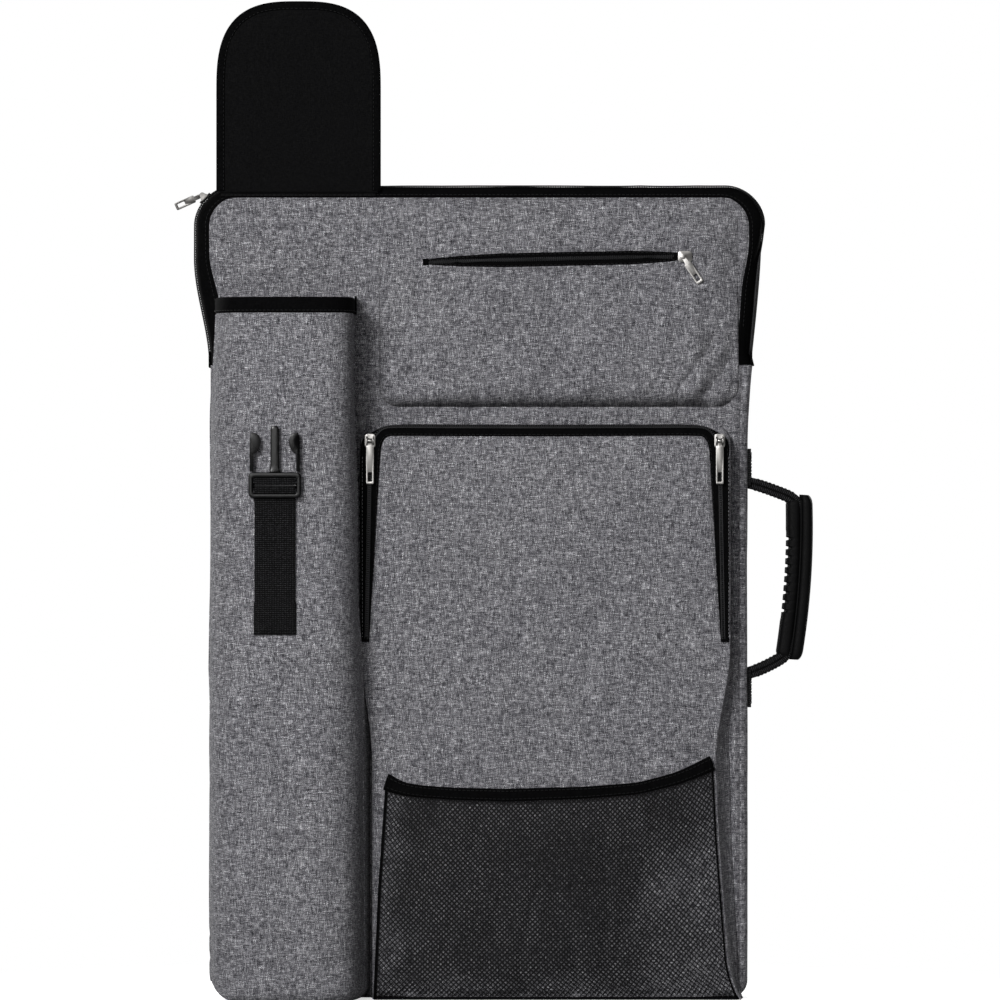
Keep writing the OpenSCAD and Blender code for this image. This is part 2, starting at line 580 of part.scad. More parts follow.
module strap_webbing_right() color(tape_black)
    plate(strip([[strap_end_x + 4, lock_z - 16], [134, 180], [160, 105], [anchor_at[0], anchor_at[1] + 6]], 25),
        half_d + 2.2, half_d + 3.8);
module strap_webbing_left() mirror([1, 0, 0]) strap_webbing_right();
module ladder_lock_right() color(tape_black) translate([strap_end_x + 1, 0, lock_z]) difference() {
    plate(rounded(33, 22, 3), strap_web_y - 1.6, strap_web_y + 3.4);
    for (z = [5.9, -5.9])
        plate(moved(rounded(26.4, 4.2, 1), 0, z), strap_web_y - 3, strap_web_y + 5);
    plate(moved(rounded(26.4, 3.6, 1), 0, 0), strap_web_y - 3, strap_web_y + 5);
    plate([[-13.2, 3.8], [13.2, 3.8], [13.2, 12], [-13.2, 12]], strap_web_y - 0.1, strap_web_y + 1.7);
}
module ladder_lock_left() mirror([1, 0, 0]) ladder_lock_right();
module strap_top_anchor() color(tape_black)
    plate(moved(rounded(176, 22, 4), 0, strap_hinge_z + 13), half_d, half_d + 2.4);
module strap_bottom_anchors() color(case_grey)
    for (m = [0, 1]) mirror([m, 0, 0])
        translate([anchor_at[0], 0, anchor_at[1]]) plate([[-26, 8], [22, -34], [22, 20]], half_d, half_d + 2.2);

// ---- Drawing --------------------------------------------------------------------------------

back_panel();
back_board();
back_lining();
front_panel();
front_foam();
front_lining();
side_gusset();
bottom_board();
main_zip_tape_front();
main_zip_tape_back();
main_zip_coils();
main_zip_slider();
main_zip_pull();
tube_pocket_shell();
tube_pocket_binding();
tube_flap_shell();
tube_flap_foam();
tube_flap_lining();
tube_flap_binding();
tube_flap_hem();
flap_strap_patch();
flap_strap();
buckle_socket();
buckle_strap_patch();
buckle_strap();
buckle_plug();
buckle_prong_left();
buckle_prong_right();
upper_pocket_front();
upper_zip_lips();
upper_zip_slider();
upper_zip_pull();
front_pocket_panel();
front_pocket_gusset();
front_zip_tape_outer();
front_zip_tape_inner();
front_zip_coils();
front_zip_slider_left();
front_zip_slider_right();
front_zip_pull_left();
front_zip_pull_right();
mesh_pocket();
mesh_pocket_binding();
handle_anchors();
handle_webbing();
handle_grip_outer();
handle_grip_inner();
strap_top_anchor();
shoulder_strap_left();
shoulder_strap_right();
strap_loop_left();
strap_loop_right();
strap_webbing_left();
strap_webbing_right();
ladder_lock_left();
ladder_lock_right();
strap_bottom_anchors();
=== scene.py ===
import bpy, math
import numpy as np
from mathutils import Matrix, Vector, noise


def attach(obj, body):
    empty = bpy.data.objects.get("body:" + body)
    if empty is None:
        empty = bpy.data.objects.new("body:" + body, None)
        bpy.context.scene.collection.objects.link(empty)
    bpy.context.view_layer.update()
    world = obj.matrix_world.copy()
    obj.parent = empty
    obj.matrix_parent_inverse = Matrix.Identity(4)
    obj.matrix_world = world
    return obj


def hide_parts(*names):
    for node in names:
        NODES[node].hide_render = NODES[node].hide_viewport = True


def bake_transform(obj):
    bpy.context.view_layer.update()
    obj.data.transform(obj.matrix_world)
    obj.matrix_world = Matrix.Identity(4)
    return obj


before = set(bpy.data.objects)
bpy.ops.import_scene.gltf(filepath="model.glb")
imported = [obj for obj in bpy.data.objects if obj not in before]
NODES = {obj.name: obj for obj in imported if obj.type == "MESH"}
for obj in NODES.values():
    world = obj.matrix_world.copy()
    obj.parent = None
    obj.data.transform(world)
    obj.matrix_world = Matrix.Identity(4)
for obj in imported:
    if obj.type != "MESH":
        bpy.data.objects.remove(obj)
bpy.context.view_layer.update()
scene = bpy.context.scene

# ---------------------------------------------------------------- small maths
# Shapes are worked out in millimetres; mesh_object writes them in metres.

MM = 0.001


def lerp(a, b, t):
    return a + (b - a) * t


def ease(t):
    t = np.clip(t, 0.0, 1.0)
    return t * t * (3 - 2 * t)


def bump(t, a, b, c, d):
    """0 before a, up to 1 at b, 1 until c and back to 0 at d."""
    return ease((t - a) / (b - a)) * (1 - ease((t - c) / (d - c)))


def unit(v):
    v = np.asarray(v, float)
    n = np.linalg.norm(v, axis=-1, keepdims=True)
    return v / np.maximum(n, 1e-9)


def noise_field(P, size, seed=0.0, octaves=2, gain=0.5):
    """Smooth noise about 0, with features of that size in mm (one number, or one per axis)."""
    P = np.asarray(P, float)
    s = np.broadcast_to(np.asarray(size, float), (3,))
    Q = P.reshape(-1, 3) / s + np.array([seed * 7.31, seed * 3.17, seed * 5.71])
    out = np.zeros(len(Q))
    amp = 1.0
    for _ in range(octaves):
        out += amp * np.array([noise.noise(Vector(q)) for q in Q])
        Q = Q * 2.03 + 11.7
        amp *= gain
    return out.reshape(P.shape[:-1])


def folds(P, along, wave, length, seed, sharp=2.0):
    """Long soft creases that run in the direction along, wave mm apart; 0 to 1, high on the crease."""
    a = unit(along)
    up = np.array([0.0, 1.0, 0.0])
    b = unit(np.cross(a, up)) if abs(a @ up) < 0.9 else np.array([1.0, 0.0, 0.0])
    c = np.cross(a, b)
    L = np.stack([P @ a, P @ b, P @ c], -1)
    n = noise_field(L, (length, wave, wave * 3), seed, 2, 0.4)
    return np.clip(1 - np.abs(n) * 3.2, 0, 1) ** sharp


def lengths(path):
    """How far along the path each of its points is."""
    return np.concatenate([[0], np.cumsum(np.linalg.norm(np.diff(path, axis=0), axis=1))])


def at_lengths(t, d, rows):
    """Rows of numbers given at lengths d, read off at lengths t."""
    return np.stack([np.interp(t, d, rows[:, k]) for k in range(rows.shape[1])], 1)


def resample(path, n=None, step=None):
    path = np.asarray(path, float)
    d = lengths(path)
    if n is None:
        n = max(2, int(round(d[-1] / step)) + 1)
    return at_lengths(np.linspace(0, d[-1], n), d, path)


def rounded_path(path, times=2):
    """Chaikin's corner cutting, with the ends kept."""
    path = np.asarray(path, float)
    for _ in range(times):
        q = path[:-1] * 0.75 + path[1:] * 0.25
        r = path[:-1] * 0.25 + path[1:] * 0.75
        path = np.concatenate([path[:1], np.stack([q, r], 1).reshape(-1, path.shape[1])[1:-1], path[-1:]])
    return path


def tangents(path):
    return unit(np.gradient(path, axis=0))


def ellipse(a, b, n=8):
    """n points (x, y) round an ellipse with half axes a and b."""
    return [(a * math.cos(t), b * math.sin(t)) for t in np.linspace(0, 2 * math.pi, n, endpoint=False)]


def squared(c, p):
    """A cosine or sine bent so that a circle becomes a superellipse of power p."""
    return np.sign(c) * np.abs(c) ** (2 / p)


# ---------------------------------------------------------------- meshes

def mesh_object(name, verts, quads, uv=None):
    """verts in mm, quads as an (m, 4) index array, uv as (m, 4, 2) in mm."""
    me = bpy.data.meshes.new(name)
    verts = np.asarray(verts, np.float64)
    quads = np.asarray(quads, np.int32)
    m = len(quads)
    me.vertices.add(len(verts))
    me.vertices.foreach_set("co", (verts * MM).astype(np.float32).ravel())
    me.loops.add(4 * m)
    me.loops.foreach_set("vertex_index", quads.ravel())
    me.polygons.add(m)
    me.polygons.foreach_set("loop_start", np.arange(m, dtype=np.int32) * 4)
    if uv is not None:
        layer = me.uv_layers.new(name="UVMap")
        layer.data.foreach_set("uv", np.asarray(uv, np.float32).ravel())
    me.update(calc_edges=True)
    me.validate()
    me.polygons.foreach_set("use_smooth", np.full(len(me.polygons), True))
    ob = bpy.data.objects.new(name, me)
    scene.collection.objects.link(ob)
    return ob


def one_more(UV):
    """A grid of uv with its last column repeated."""
    return np.concatenate([UV, UV[:, -1:]], 1)


def grid_arrays(P, UV=None, wrap=False, keep=None):
    """Quads of a grid of points; with wrap the second direction closes on itself. keep marks the quads that stay."""
    nu, nv = P.shape[:2]
    i, j = np.meshgrid(np.arange(nu - 1), np.arange(nv if wrap else nv - 1), indexing="ij")
    i, j = i.ravel(), j.ravel()
    if keep is not None:
        k = keep[i, j]
        i, j = i[k], j[k]
    idx = lambda a, b: a * nv + b % nv
    quads = np.stack([idx(i, j), idx(i, j + 1), idx(i + 1, j + 1), idx(i + 1, j)], 1)
    if UV is None:
        UV = np.zeros((nu, nv + 1, 2))
    elif UV.shape[1] == nv:
        UV = one_more(UV)
    uv = np.stack([UV[i, j], UV[i, j + 1], UV[i + 1, j + 1], UV[i + 1, j]], 1)
    return P.reshape(-1, 3), quads, uv


def grid(name, P, UV=None, wrap=False, keep=None):
    return mesh_object(name, *grid_arrays(P, UV, wrap, keep))


def facing(name, P, out):
    """An upright sheet that looks forward (out = -1) or back (out = 1)."""
    UV = one_more(P[..., [0, 2]])
    return grid(name, P, UV) if out < 0 else grid(name, P[:, ::-1], UV[:, ::-1])


def joined(name, parts):
    """One object from several (verts, quads, uv)."""
    V, Q, U, n = [], [], [], 0
    for v, q, u in parts:
        V.append(v)
        Q.append(np.asarray(q) + n)
        U.append(u if u is not None else np.asarray(v)[np.asarray(q)][..., [0, 2]])
        n += len(v)
    return mesh_object(name, np.concatenate(V), np.concatenate(Q), np.concatenate(U))


def thicken(ob, t, offset=-1.0):
    m = ob.modifiers.new("thickness", "SOLIDIFY")
    m.thickness = t * MM
    m.offset = offset
    m.use_even_offset = True
    return ob


def bevel(ob, width, segments=2, angle=32):
    w = ob.modifiers.new("weld", "WELD")
    w.merge_threshold = 2e-6
    m = ob.modifiers.new("bevel", "BEVEL")
    m.width = width * MM
    m.segments = segments
    m.limit_method = "ANGLE"
    m.angle_limit = math.radians(angle)
    m.harden_normals = False
    for p in ob.data.polygons:
        p.use_smooth = True
    return ob


def finish_in(ob, material):
    """Gives a piece or a CAD node its material."""
    ob.data.materials.clear()
    ob.data.materials.append(material)


def piece(ob, material, body, *nodes, slot=None):
    """A new piece in that material, riding on that body (None: it is not attached to any body), in place of CAD nodes.
    """
    finish_in(ob, material)
    if nodes:
        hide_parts(*nodes)
    if body:
        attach(ob, body)
    return ob


def end_caps(first, last, n):
    """Quads over the first and over the last ring of n points, whose halves mirror each other."""
    strips = [(j, n - 1 - j, n - 2 - j, j + 1) for j in range(n // 2 - 1)]
    return [[first + x for x in f] for f in strips], [[last + x for x in f[::-1]] for f in strips]


def loft(name, P, with_uv=False):
    """A closed form through rings of points, capped at both ends."""
    m, n = P.shape[:2]
    v, q, uv = grid_arrays(P, None, wrap=True)
    caps = [c[::-1] for pair in zip(*end_caps(0, (m - 1) * n, n)) for c in pair]
    q = np.concatenate([q, np.array(caps)])
    return mesh_object(name, v, q, np.zeros((len(q), 4, 2)) if with_uv else None)


def section_sweep(path, across, section, caps=True):
    """Sweeps a section of (a, b) points: a along across, b along the normal. Returns arrays with uv in mm."""
    path = np.asarray(path, float)
    n = len(path)
    T = tangents(path)
    A = np.broadcast_to(np.asarray(across, float), (n, 3))
    A = unit(A - T * np.sum(A * T, 1, keepdims=True))
    B = np.cross(T, A)
    S = np.asarray(section, float)
    if S.ndim == 2:
        S = np.broadcast_to(S, (n,) + S.shape)
    P = path[:, None, :] + S[..., 0:1] * A[:, None, :] + S[..., 1:2] * B[:, None, :]
    d = lengths(path)
    k = S.shape[1]
    ring = np.concatenate([S, S[:, :1]], 1)
    UV = np.zeros((n, ring.shape[1] + 1, 2))
    UV[:, :ring.shape[1], 0] = ring[..., 0]
    UV[:, -1, 0] = UV[:, -2, 0]
    UV[..., 1] = d[:, None]
    v, q, u = grid_arrays(P, UV, wrap=True)
    if caps:
        ends = np.concatenate(end_caps(0, (n - 1) * k, k))
        q = np.concatenate([q, ends])
        u = np.concatenate([u, np.zeros((len(ends), 4, 2))])
    return v, q, u


def swept(name, *sweep, **how):
    return mesh_object(name, *section_sweep(*sweep, **how))


def strap_section(w, t, r=None, n=3):
    """A flat strap's section with rounded long edges, in an order whose halves mirror each other."""
    h = t / 2
    r = h if r is None else r
    xs = np.linspace(-w / 2 + r, w / 2 - r, 7)
    a = np.linspace(180, 90, n + 1)[:-1]
    left = [(-w / 2 + r + r * math.cos(math.radians(x)), h * math.sin(math.radians(x))) for x in a]
    top = [(x, h) for x in xs]
    right = [(w / 2 - r + r * math.cos(math.radians(x)), h * math.sin(math.radians(x)))
             for x in np.linspace(90, 0, n + 1)[1:]]
    upper = left + top + right
    lower = [(x, -y - 1e-4) for x, y in upper][::-1]
    return np.array(upper + lower)


def webbing(name, path, width, thick, step=2.0):
    """A flat strap along the path, its width in X."""
    return swept(name, resample(path, step=step), (1, 0, 0), strap_section(width, thick))


def copies(L, at, A, B, N, caps=None):
    """A loft L, rings of points (a, b, n), copied to every point at, along the directions A, B and N there."""
    V = (at[:, None, None, :] + L[None, ..., 0:1] * A[:, None, None, :] + L[None, ..., 1:2] * B[:, None, None, :]
         + L[None, ..., 2:3] * N[:, None, None, :])
    k, m = L.shape[:2]
    i, j = np.meshgrid(np.arange(k - 1), np.arange(m), indexing="ij")
    i, j = i.ravel(), j.ravel()
    q = np.stack([i * m + j, (i + 1) * m + j, (i + 1) * m + (j + 1) % m, i * m + (j + 1) % m], 1)
    if caps is not None:
        q = np.concatenate([q, caps])
    Q = (q[None] + (np.arange(len(at)) * k * m)[:, None, None]).reshape(-1, 4)
    return V.reshape(-1, 3), Q, None


# a stitch from end to end: place along it, thickness, height
STITCH = [(-0.5, 0.05, -0.5), (-0.42, 0.7, 0.1), (-0.2, 1.0, 0.5), (0.2, 1.0, 0.5), (0.42, 0.7, 0.1), (0.5, 0.05, -0.5)]
# a zip tooth from its foot to its head: place along it, thickness
TOOTH = [(0.0, 0.8), (0.08, 1.0), (0.75, 1.0), (0.95, 0.8), (1.0, 0.35)]


def stitches(path, normal, pitch=3.4, length=2.5, r=0.28, lift=0.1):
    """A row of thread stitches lying on a surface."""
    path = np.asarray(path, float)
    d = lengths(path)
    n = max(1, int(d[-1] / pitch))
    P = resample(path, n=n + 1)
    T = unit(P[1:] - P[:-1])
    N = np.broadcast_to(np.asarray(normal, float), path.shape)
    N = at_lengths(np.linspace(0, d[-1], n + 1), d, N)
    N = unit((N[:-1] + N[1:]) / 2)
    B = unit(np.cross(T, N))
    L = np.array([[(u * length, s * r * a, lift + r * h + s * r * b) for a, b in ellipse(1, 1, 6)]
                  for u, s, h in STITCH])
    return copies(L, (P[:-1] + P[1:]) / 2, T, B, np.cross(B, T))


def teeth(path, across, normal, pitch, long, wide, high, start=0.0):
    """Zip teeth: a rounded bar every pitch mm, reaching from the path along across."""
    path = np.asarray(path, float)
    d = lengths(path)
    at = np.arange(start, d[-1], pitch)
    A = unit(at_lengths(at, d, np.broadcast_to(np.asarray(across, float), path.shape)))
    N = unit(at_lengths(at, d, np.broadcast_to(np.asarray(normal, float), path.shape)))
    L = np.array([[(u * long, s * wide / 2 * a, s * high / 2 * b) for a, b in ellipse(1, 1, 6)] for u, s in TOOTH])
    head = (len(TOOTH) - 1) * 6
    caps = head + np.array([[0, 1, 2, 3], [0, 3, 4, 5]])
    return copies(L, at_lengths(at, d, path), A, np.cross(A, N), N, caps)


def relax(ob, pin, grow, pressure, frames, cap, bend=2.0, stiff=15.0):
    """Runs cloth on the mesh, keeps the pinned rim, and writes the result back without the modifier."""
    me = ob.data
    n = len(me.vertices)
    before = np.zeros(n * 3)
    me.vertices.foreach_get("co", before)
    before = before.reshape(-1, 3)
    vg = ob.vertex_groups.new(name="pin")
    pin = np.clip(pin, 0, 1)
    for w in np.unique(np.round(pin, 2)):
        if w > 0:
            vg.add([int(x) for x in np.nonzero(np.abs(pin - w) < 0.006)[0]], float(w), "REPLACE")
    m = ob.modifiers.new("cloth", "CLOTH")
    st = m.settings
    st.quality = 6
    st.mass = 0.15
    st.tension_stiffness = st.compression_stiffness = stiff
    st.shear_stiffness = stiff * 0.6
    st.bending_stiffness = bend
    st.tension_damping = st.compression_damping = 5
    st.air_damping = 2
    st.vertex_group_mass = "pin"
    st.shrink_min = -grow
    st.shrink_max = -grow
    st.effector_weights.gravity = 0
    st.use_pressure = True
    st.uniform_pressure_force = pressure
    m.collision_settings.use_collision = False
    m.collision_settings.use_self_collision = False
    m.point_cache.frame_start, m.point_cache.frame_end = 1, frames
    for f in range(1, frames + 1):
        scene.frame_set(f)
    ev = ob.evaluated_get(bpy.context.evaluated_depsgraph_get())
    after = np.zeros(n * 3)
    ev.data.vertices.foreach_get("co", after)
    after = after.reshape(-1, 3)
    move = after - before
    size = np.linalg.norm(move, axis=1, keepdims=True)
    limit = cap * MM
    move *= np.where(size > 1e-9, limit * np.tanh(size / limit) / np.maximum(size, 1e-9), 0)
    ob.modifiers.remove(m)
    ob.vertex_groups.clear()
    me.vertices.foreach_set("co", (before + move).astype(np.float32).ravel())
    me.update()
    scene.frame_set(1)


# ---------------------------------------------------------------- materials

class Mat:
    """A material in the making: each method adds one node and returns its output socket."""

    def __init__(self, name, **base):
        self.m = bpy.data.materials.new(name)
        self.m.use_nodes = True
        self.t = self.m.node_tree
        self.b = self.t.nodes["Principled BSDF"]
        for k, v in base.items():
            self.b.inputs[k.replace("_", " ")].default_value = v
        tc = self.t.nodes.new("ShaderNodeTexCoord")
        self.obj, self.uv = tc.outputs["Object"], tc.outputs["UV"]

    def put(self, node, key, v):
        if isinstance(v, bpy.types.NodeSocket):
            self.t.links.new(v, node.inputs[key])
        else:
            node.inputs[key].default_value = v

    def math(self, op, a, b=0.0, c=None):
        n = self.t.nodes.new("ShaderNodeMath")
        n.operation = op
        self.put(n, 0, a)
        self.put(n, 1, b)
        if c is not None:
            self.put(n, 2, c)
        return n.outputs[0]

    def scaled(self, vec, s):
        n = self.t.nodes.new("ShaderNodeMapping")
        self.put(n, "Vector", vec)
        n.inputs["Scale"].default_value = s
        return n.outputs[0]

    def noise(self, vec, scale=1.0, detail=2.0, rough=0.5):
        n = self.t.nodes.new("ShaderNodeTexNoise")
        self.put(n, "Vector", vec)
        for key, value in (("Scale", scale), ("Detail", detail), ("Roughness", rough)):
            n.inputs[key].default_value = value
        return n.outputs[0]

    def split(self, vec):
        n = self.t.nodes.new("ShaderNodeSeparateXYZ")
        self.put(n, 0, vec)
        return n.outputs

    def join(self, x, y):
        n = self.t.nodes.new("ShaderNodeCombineXYZ")
        self.put(n, 0, x)
        self.put(n, 1, y)
        return n.outputs[0]

    def ramp(self, fac, stops):
        n = self.t.nodes.new("ShaderNodeValToRGB")
        e = n.color_ramp.elements
        while len(e) < len(stops):
            e.new(0.5)
        for k, (p, c) in enumerate(stops):
            e[k].position = p
            e[k].color = (c, c, c, 1) if isinstance(c, (int, float)) else (*c, 1)
        self.put(n, 0, fac)
        return n.outputs[0]

    def mix(self, fac, a, b, mode="MIX"):
        n = self.t.nodes.new("ShaderNodeMix")
        n.data_type = "RGBA"
        n.blend_type = mode
        self.put(n, 0, fac)
        self.put(n, 6, a if isinstance(a, bpy.types.NodeSocket) else (*a, 1))
        self.put(n, 7, b if isinstance(b, bpy.types.NodeSocket) else (*b, 1))
        return n.outputs[2]

    def bump(self, height, strength, distance, normal=None):
        n = self.t.nodes.new("ShaderNodeBump")
        n.inputs["Strength"].default_value = strength
        n.inputs["Distance"].default_value = distance
        self.put(n, "Height", height)
        if normal is not None:
            self.put(n, "Normal", normal)
        return n.outputs[0]

    def done(self, color=None, rough=None, normal=None):
        for key, socket in (("Base Color", color), ("Roughness", rough), ("Normal", normal)):
            if socket is not None:
                self.t.links.new(socket, self.b.inputs[key])
        return self.m


def heather():
    """Two-tone melange canvas. uv is in mm: each thread has shades of its own along it, and crossings alternate."""
    M = Mat("heather_canvas", Roughness=0.95, Sheen_Weight=0.05, Sheen_Roughness=0.5, Specular_IOR_Level=0.08)
    u, v, _ = M.split(M.uv)
    threads, apart, shade = 1.42, 7.31, 0.17     # threads a mm, noise steps between threads, noise steps a mm along one
    warp_at, weft_at = (M.math("FLOOR", M.math("MULTIPLY", t, threads)) for t in (u, v))
    warp = M.noise(M.join(M.math("MULTIPLY", warp_at, apart), M.math("MULTIPLY", v, shade)), 1.0, 1.0, 0.6)
    weft = M.noise(M.join(M.math("MULTIPLY", u, shade), M.math("MULTIPLY", weft_at, apart)), 1.0, 1.0, 0.6)
    over = M.math("PINGPONG", M.math("ADD", warp_at, weft_at), 1.0)
    speck = M.noise(M.obj, 1150.0, 1.0, 0.5)
    thread = M.mix(M.math("MULTIPLY_ADD", over, 0.84, 0.08), warp, weft)
    grain = M.math("ADD", M.math("MULTIPLY", thread, 0.50), M.math("MULTIPLY_ADD", speck, 0.19, 0.155))
    col = M.ramp(grain, [(0.36, (0.008, 0.008, 0.010)), (0.44, (0.050, 0.049, 0.055)), (0.50, (0.128, 0.126, 0.136)),
                         (0.56, (0.255, 0.252, 0.264)), (0.65, (0.66, 0.66, 0.68))])
    for size, level in (((0.03, 0.95, 1), 0.14), ((0.85, 0.03, 1), 0.13)):
        slub = M.noise(M.scaled(M.uv, size), 1.0, 1.0, 0.5)
        col = M.mix(M.ramp(slub, [(0.62, 0.0), (0.72, level)]), col, (0.45, 0.45, 0.46))
    streak = M.noise(M.scaled(M.uv, (0.22, 0.012, 1)), 1.0, 2.0, 0.5)
    col = M.mix(1.0, col, M.ramp(streak, [(0.3, (0.90, 0.90, 0.91)), (0.7, (1.0, 1.0, 1.0))]), "MULTIPLY")
    wide = M.noise(M.obj, 14.0, 2.0)
    col = M.mix(1.0, col, M.ramp(wide, [(0.3, (0.93, 0.93, 0.94)), (0.7, (1.0, 1.0, 1.0))]), "MULTIPLY")
    n = M.bump(M.math("ADD", M.math("MULTIPLY", over, 0.15), grain), 0.3, 0.0005)
    n = M.bump(M.noise(M.obj, 90.0, 2.0), 0.25, 0.0008, n)
    return M.done(col, M.ramp(grain, [(0.3, 0.98), (0.7, 0.86)]), n)


def plain_cloth(name, dark, light, sheen=0.012, size=1100.0, gloss=0.05):
    M = Mat(name, Roughness=0.9, Sheen_Weight=sheen, Sheen_Roughness=0.45, Specular_IOR_Level=gloss)
    a = M.noise(M.scaled(M.obj, (size * 0.25, size * 0.25, size)), 1.0, 2.0, 0.6)
    b = M.noise(M.scaled(M.obj, (size, size, size * 0.25)), 1.0, 2.0, 0.6)
    g = M.math("MULTIPLY", M.math("ADD", a, b), 0.5)
    col = M.ramp(g, [(0.36, dark), (0.64, light)])
    worn = M.noise(M.obj, 22.0, 3.0)
    col = M.mix(M.ramp(worn, [(0.5, 0.0), (0.8, 0.25)]), col, light)
    n = M.bump(g, 0.4, 0.0005)
    n = M.bump(M.noise(M.obj, 120.0, 2.0), 0.2, 0.0006, n)
    return M.done(col, M.ramp(g, [(0.3, 0.95), (0.7, 0.7)]), n)


def web_cloth(name="ribbed_webbing"):
    """Webbing: short ribs across the strap, offset from column to column. uv is in mm, u across."""
    M = Mat(name, Roughness=0.7, Sheen_Weight=0.006, Sheen_Roughness=0.4, Specular_IOR_Level=0.09)
    u, v, _ = M.split(M.uv)
    zig = M.math("PINGPONG", u, 1.9)
    rib = M.math("SINE", M.math("MULTIPLY", M.math("ADD", v, M.math("MULTIPLY", zig, 0.16)), 4.2))
    col_line = M.math("SINE", M.math("MULTIPLY", u, 3.307))
    h = M.math("ADD", M.math("MULTIPLY", rib, 0.5), M.math("MULTIPLY", col_line, 0.2))
    fuzz = M.noise(M.obj, 1000.0, 2.0)
    g = M.math("ADD", M.math("MULTIPLY", h, 0.55), M.math("MULTIPLY", fuzz, 0.9))
    col = M.ramp(g, [(0.15, (0.0004, 0.0004, 0.0005)), (0.47, (0.0016, 0.0016, 0.0018)),
                     (0.66, (0.0075, 0.0075, 0.008)), (0.88, (0.032, 0.032, 0.034))])
    n = M.bump(h, 0.8, 0.0005)
    n = M.bump(fuzz, 0.25, 0.0003, n)
    return M.done(col, M.ramp(g, [(0.1, 0.9), (0.8, 0.55)]), n)


def plastic(name, color, rough, grain=0.12):
    M = Mat(name, Roughness=rough, Specular_IOR_Level=0.15)
    fine = M.noise(M.obj, 2600.0, 2.0)
    wide = M.noise(M.obj, 60.0, 3.0)
    c = M.ramp(wide, [(0.35, tuple(0.8 * x for x in color)), (0.7, tuple(1.25 * x for x in color))])
    r = M.ramp(wide, [(0.3, rough * 0.8), (0.75, rough * 1.35)])
    n = M.bump(fine, grain, 0.0002)
    n = M.bump(M.noise(M.obj, 300.0, 1.0), 0.06, 0.0004, n)
    return M.done(c, r, n)


def metal(name="nickel", k=1.0):
    M = Mat(name, Metallic=1.0, Roughness=0.3)
    lines = M.noise(M.scaled(M.obj, (2600, 2600, 140)), 1.0, 2.0)
    wear = M.noise(M.obj, 130.0, 2.0)
    c = M.ramp(wear, [(0.3, (0.19 * k, 0.185 * k, 0.178 * k)), (0.7, (0.29 * k, 0.28 * k, 0.27 * k))])
    r = M.ramp(M.math("MULTIPLY", M.math("ADD", lines, wear), 0.5), [(0.3, 0.44), (0.65, 0.32)])
    return M.done(c, r, M.bump(lines, 0.05, 0.0002))


def thread(name, color):
    M = Mat(name, Roughness=0.6, Sheen_Weight=0.01, Sheen_Roughness=0.5, Specular_IOR_Level=0.15)
    n = M.noise(M.obj, 2500.0, 1.0)
    return M.done(M.ramp(n, [(0.3, tuple(0.6 * x for x in color)), (0.7, tuple(1.3 * x for x in color))]), None,
                  M.bump(n, 0.3, 0.0002))


def rubber():
    M = Mat("moulded_rubber", Roughness=0.5, Specular_IOR_Level=0.07)
    g = M.noise(M.obj, 900.0, 3.0, 0.6)
    w = M.noise(M.obj, 45.0, 3.0)
    c = M.ramp(w, [(0.3, (0.0012, 0.0012, 0.0013)), (0.7, (0.0024, 0.0024, 0.0026))])
    return M.done(c, M.ramp(g, [(0.3, 0.72), (0.7, 0.5)]), M.bump(g, 0.25, 0.0003))


GREY = heather()
BLACK = plain_cloth("black_cloth", (0.0016, 0.0016, 0.0018), (0.0052, 0.0052, 0.0055))
LINING = plain_cloth("black_lining", (0.0014, 0.0014, 0.0016), (0.0031, 0.0031, 0.0033), sheen=0.003, size=1500.0)
PADDING = plain_cloth("padding_cloth", (0.0050, 0.0050, 0.0054), (0.0135, 0.0135, 0.0142), sheen=0.03, size=800.0,
                      gloss=0.15)
BINDING = plain_cloth("grosgrain_binding", (0.0009, 0.0009, 0.0010), (0.0026, 0.0026, 0.0028), sheen=0.002, size=1400.0,
                      gloss=0.02)
TAPE = plain_cloth("zip_tape", (0.0009, 0.0009, 0.0010), (0.0026, 0.0026, 0.0028), sheen=0.002, size=1250.0, gloss=0.02)
WEB = web_cloth()
BUCKLE = plastic("acetal", (0.0009, 0.0009, 0.0010), 0.22, 0.05)
NYLON = plastic("nylon_teeth", (0.016, 0.016, 0.017), 0.36)
METAL = metal()
GUNMETAL = metal("gunmetal", 0.2)
RUBBER = rubber()
NET = thread("net_thread", (0.0055, 0.0055, 0.006))
BLACK_THREAD = thread("black_thread", (0.0042, 0.0042, 0.0046))
GREY_THREAD = thread("grey_thread", (0.11, 0.11, 0.115))
PALE_THREAD = thread("pale_thread", (0.22, 0.22, 0.23))


def sewn(name, rows, body="case", material=BLACK_THREAD):
    """One piece of several rows of stitches."""
    return piece(joined(name, rows), material, body)

# ---------------------------------------------------------------- the case's outlines

W, H, HD = 425.0, 640.0, 20.0                         # width at the foot, height, half the depth
FLARE = 12.0                                          # how much further each side stands out near the top
FLARE_LEFT, FLARE_RIGHT = (500, 585), (435, 600)      # the heights between which it does
FOOT_LEFT, FOOT_RIGHT, TOP_R = 26, 14, 30             # radii of the corners
SEAM_IN, SEAM_TOP, SEAM_R = 6.5, 10, 24               # the seam's inset, its inset near the top, its top radius
SEAM_Z, ROUND_Z = H - SEAM_IN, H - SEAM_IN - SEAM_R   # the seam's top line, and where its round corners start
SEAM_CX = W / 2 + FLARE - SEAM_TOP - SEAM_R           # the middle of those corners


def arc(cx, cz, r, a0, a1, n):
    a = np.radians(np.linspace(a0, a1, n))
    return np.stack([cx + r * np.cos(a), cz + r * np.sin(a)], 1)


def side_x(z, heights, inset, top):
    z0, z1 = heights
    return W / 2 - inset + (FLARE + inset - top) * ease((z - z0) / (z1 - z0))


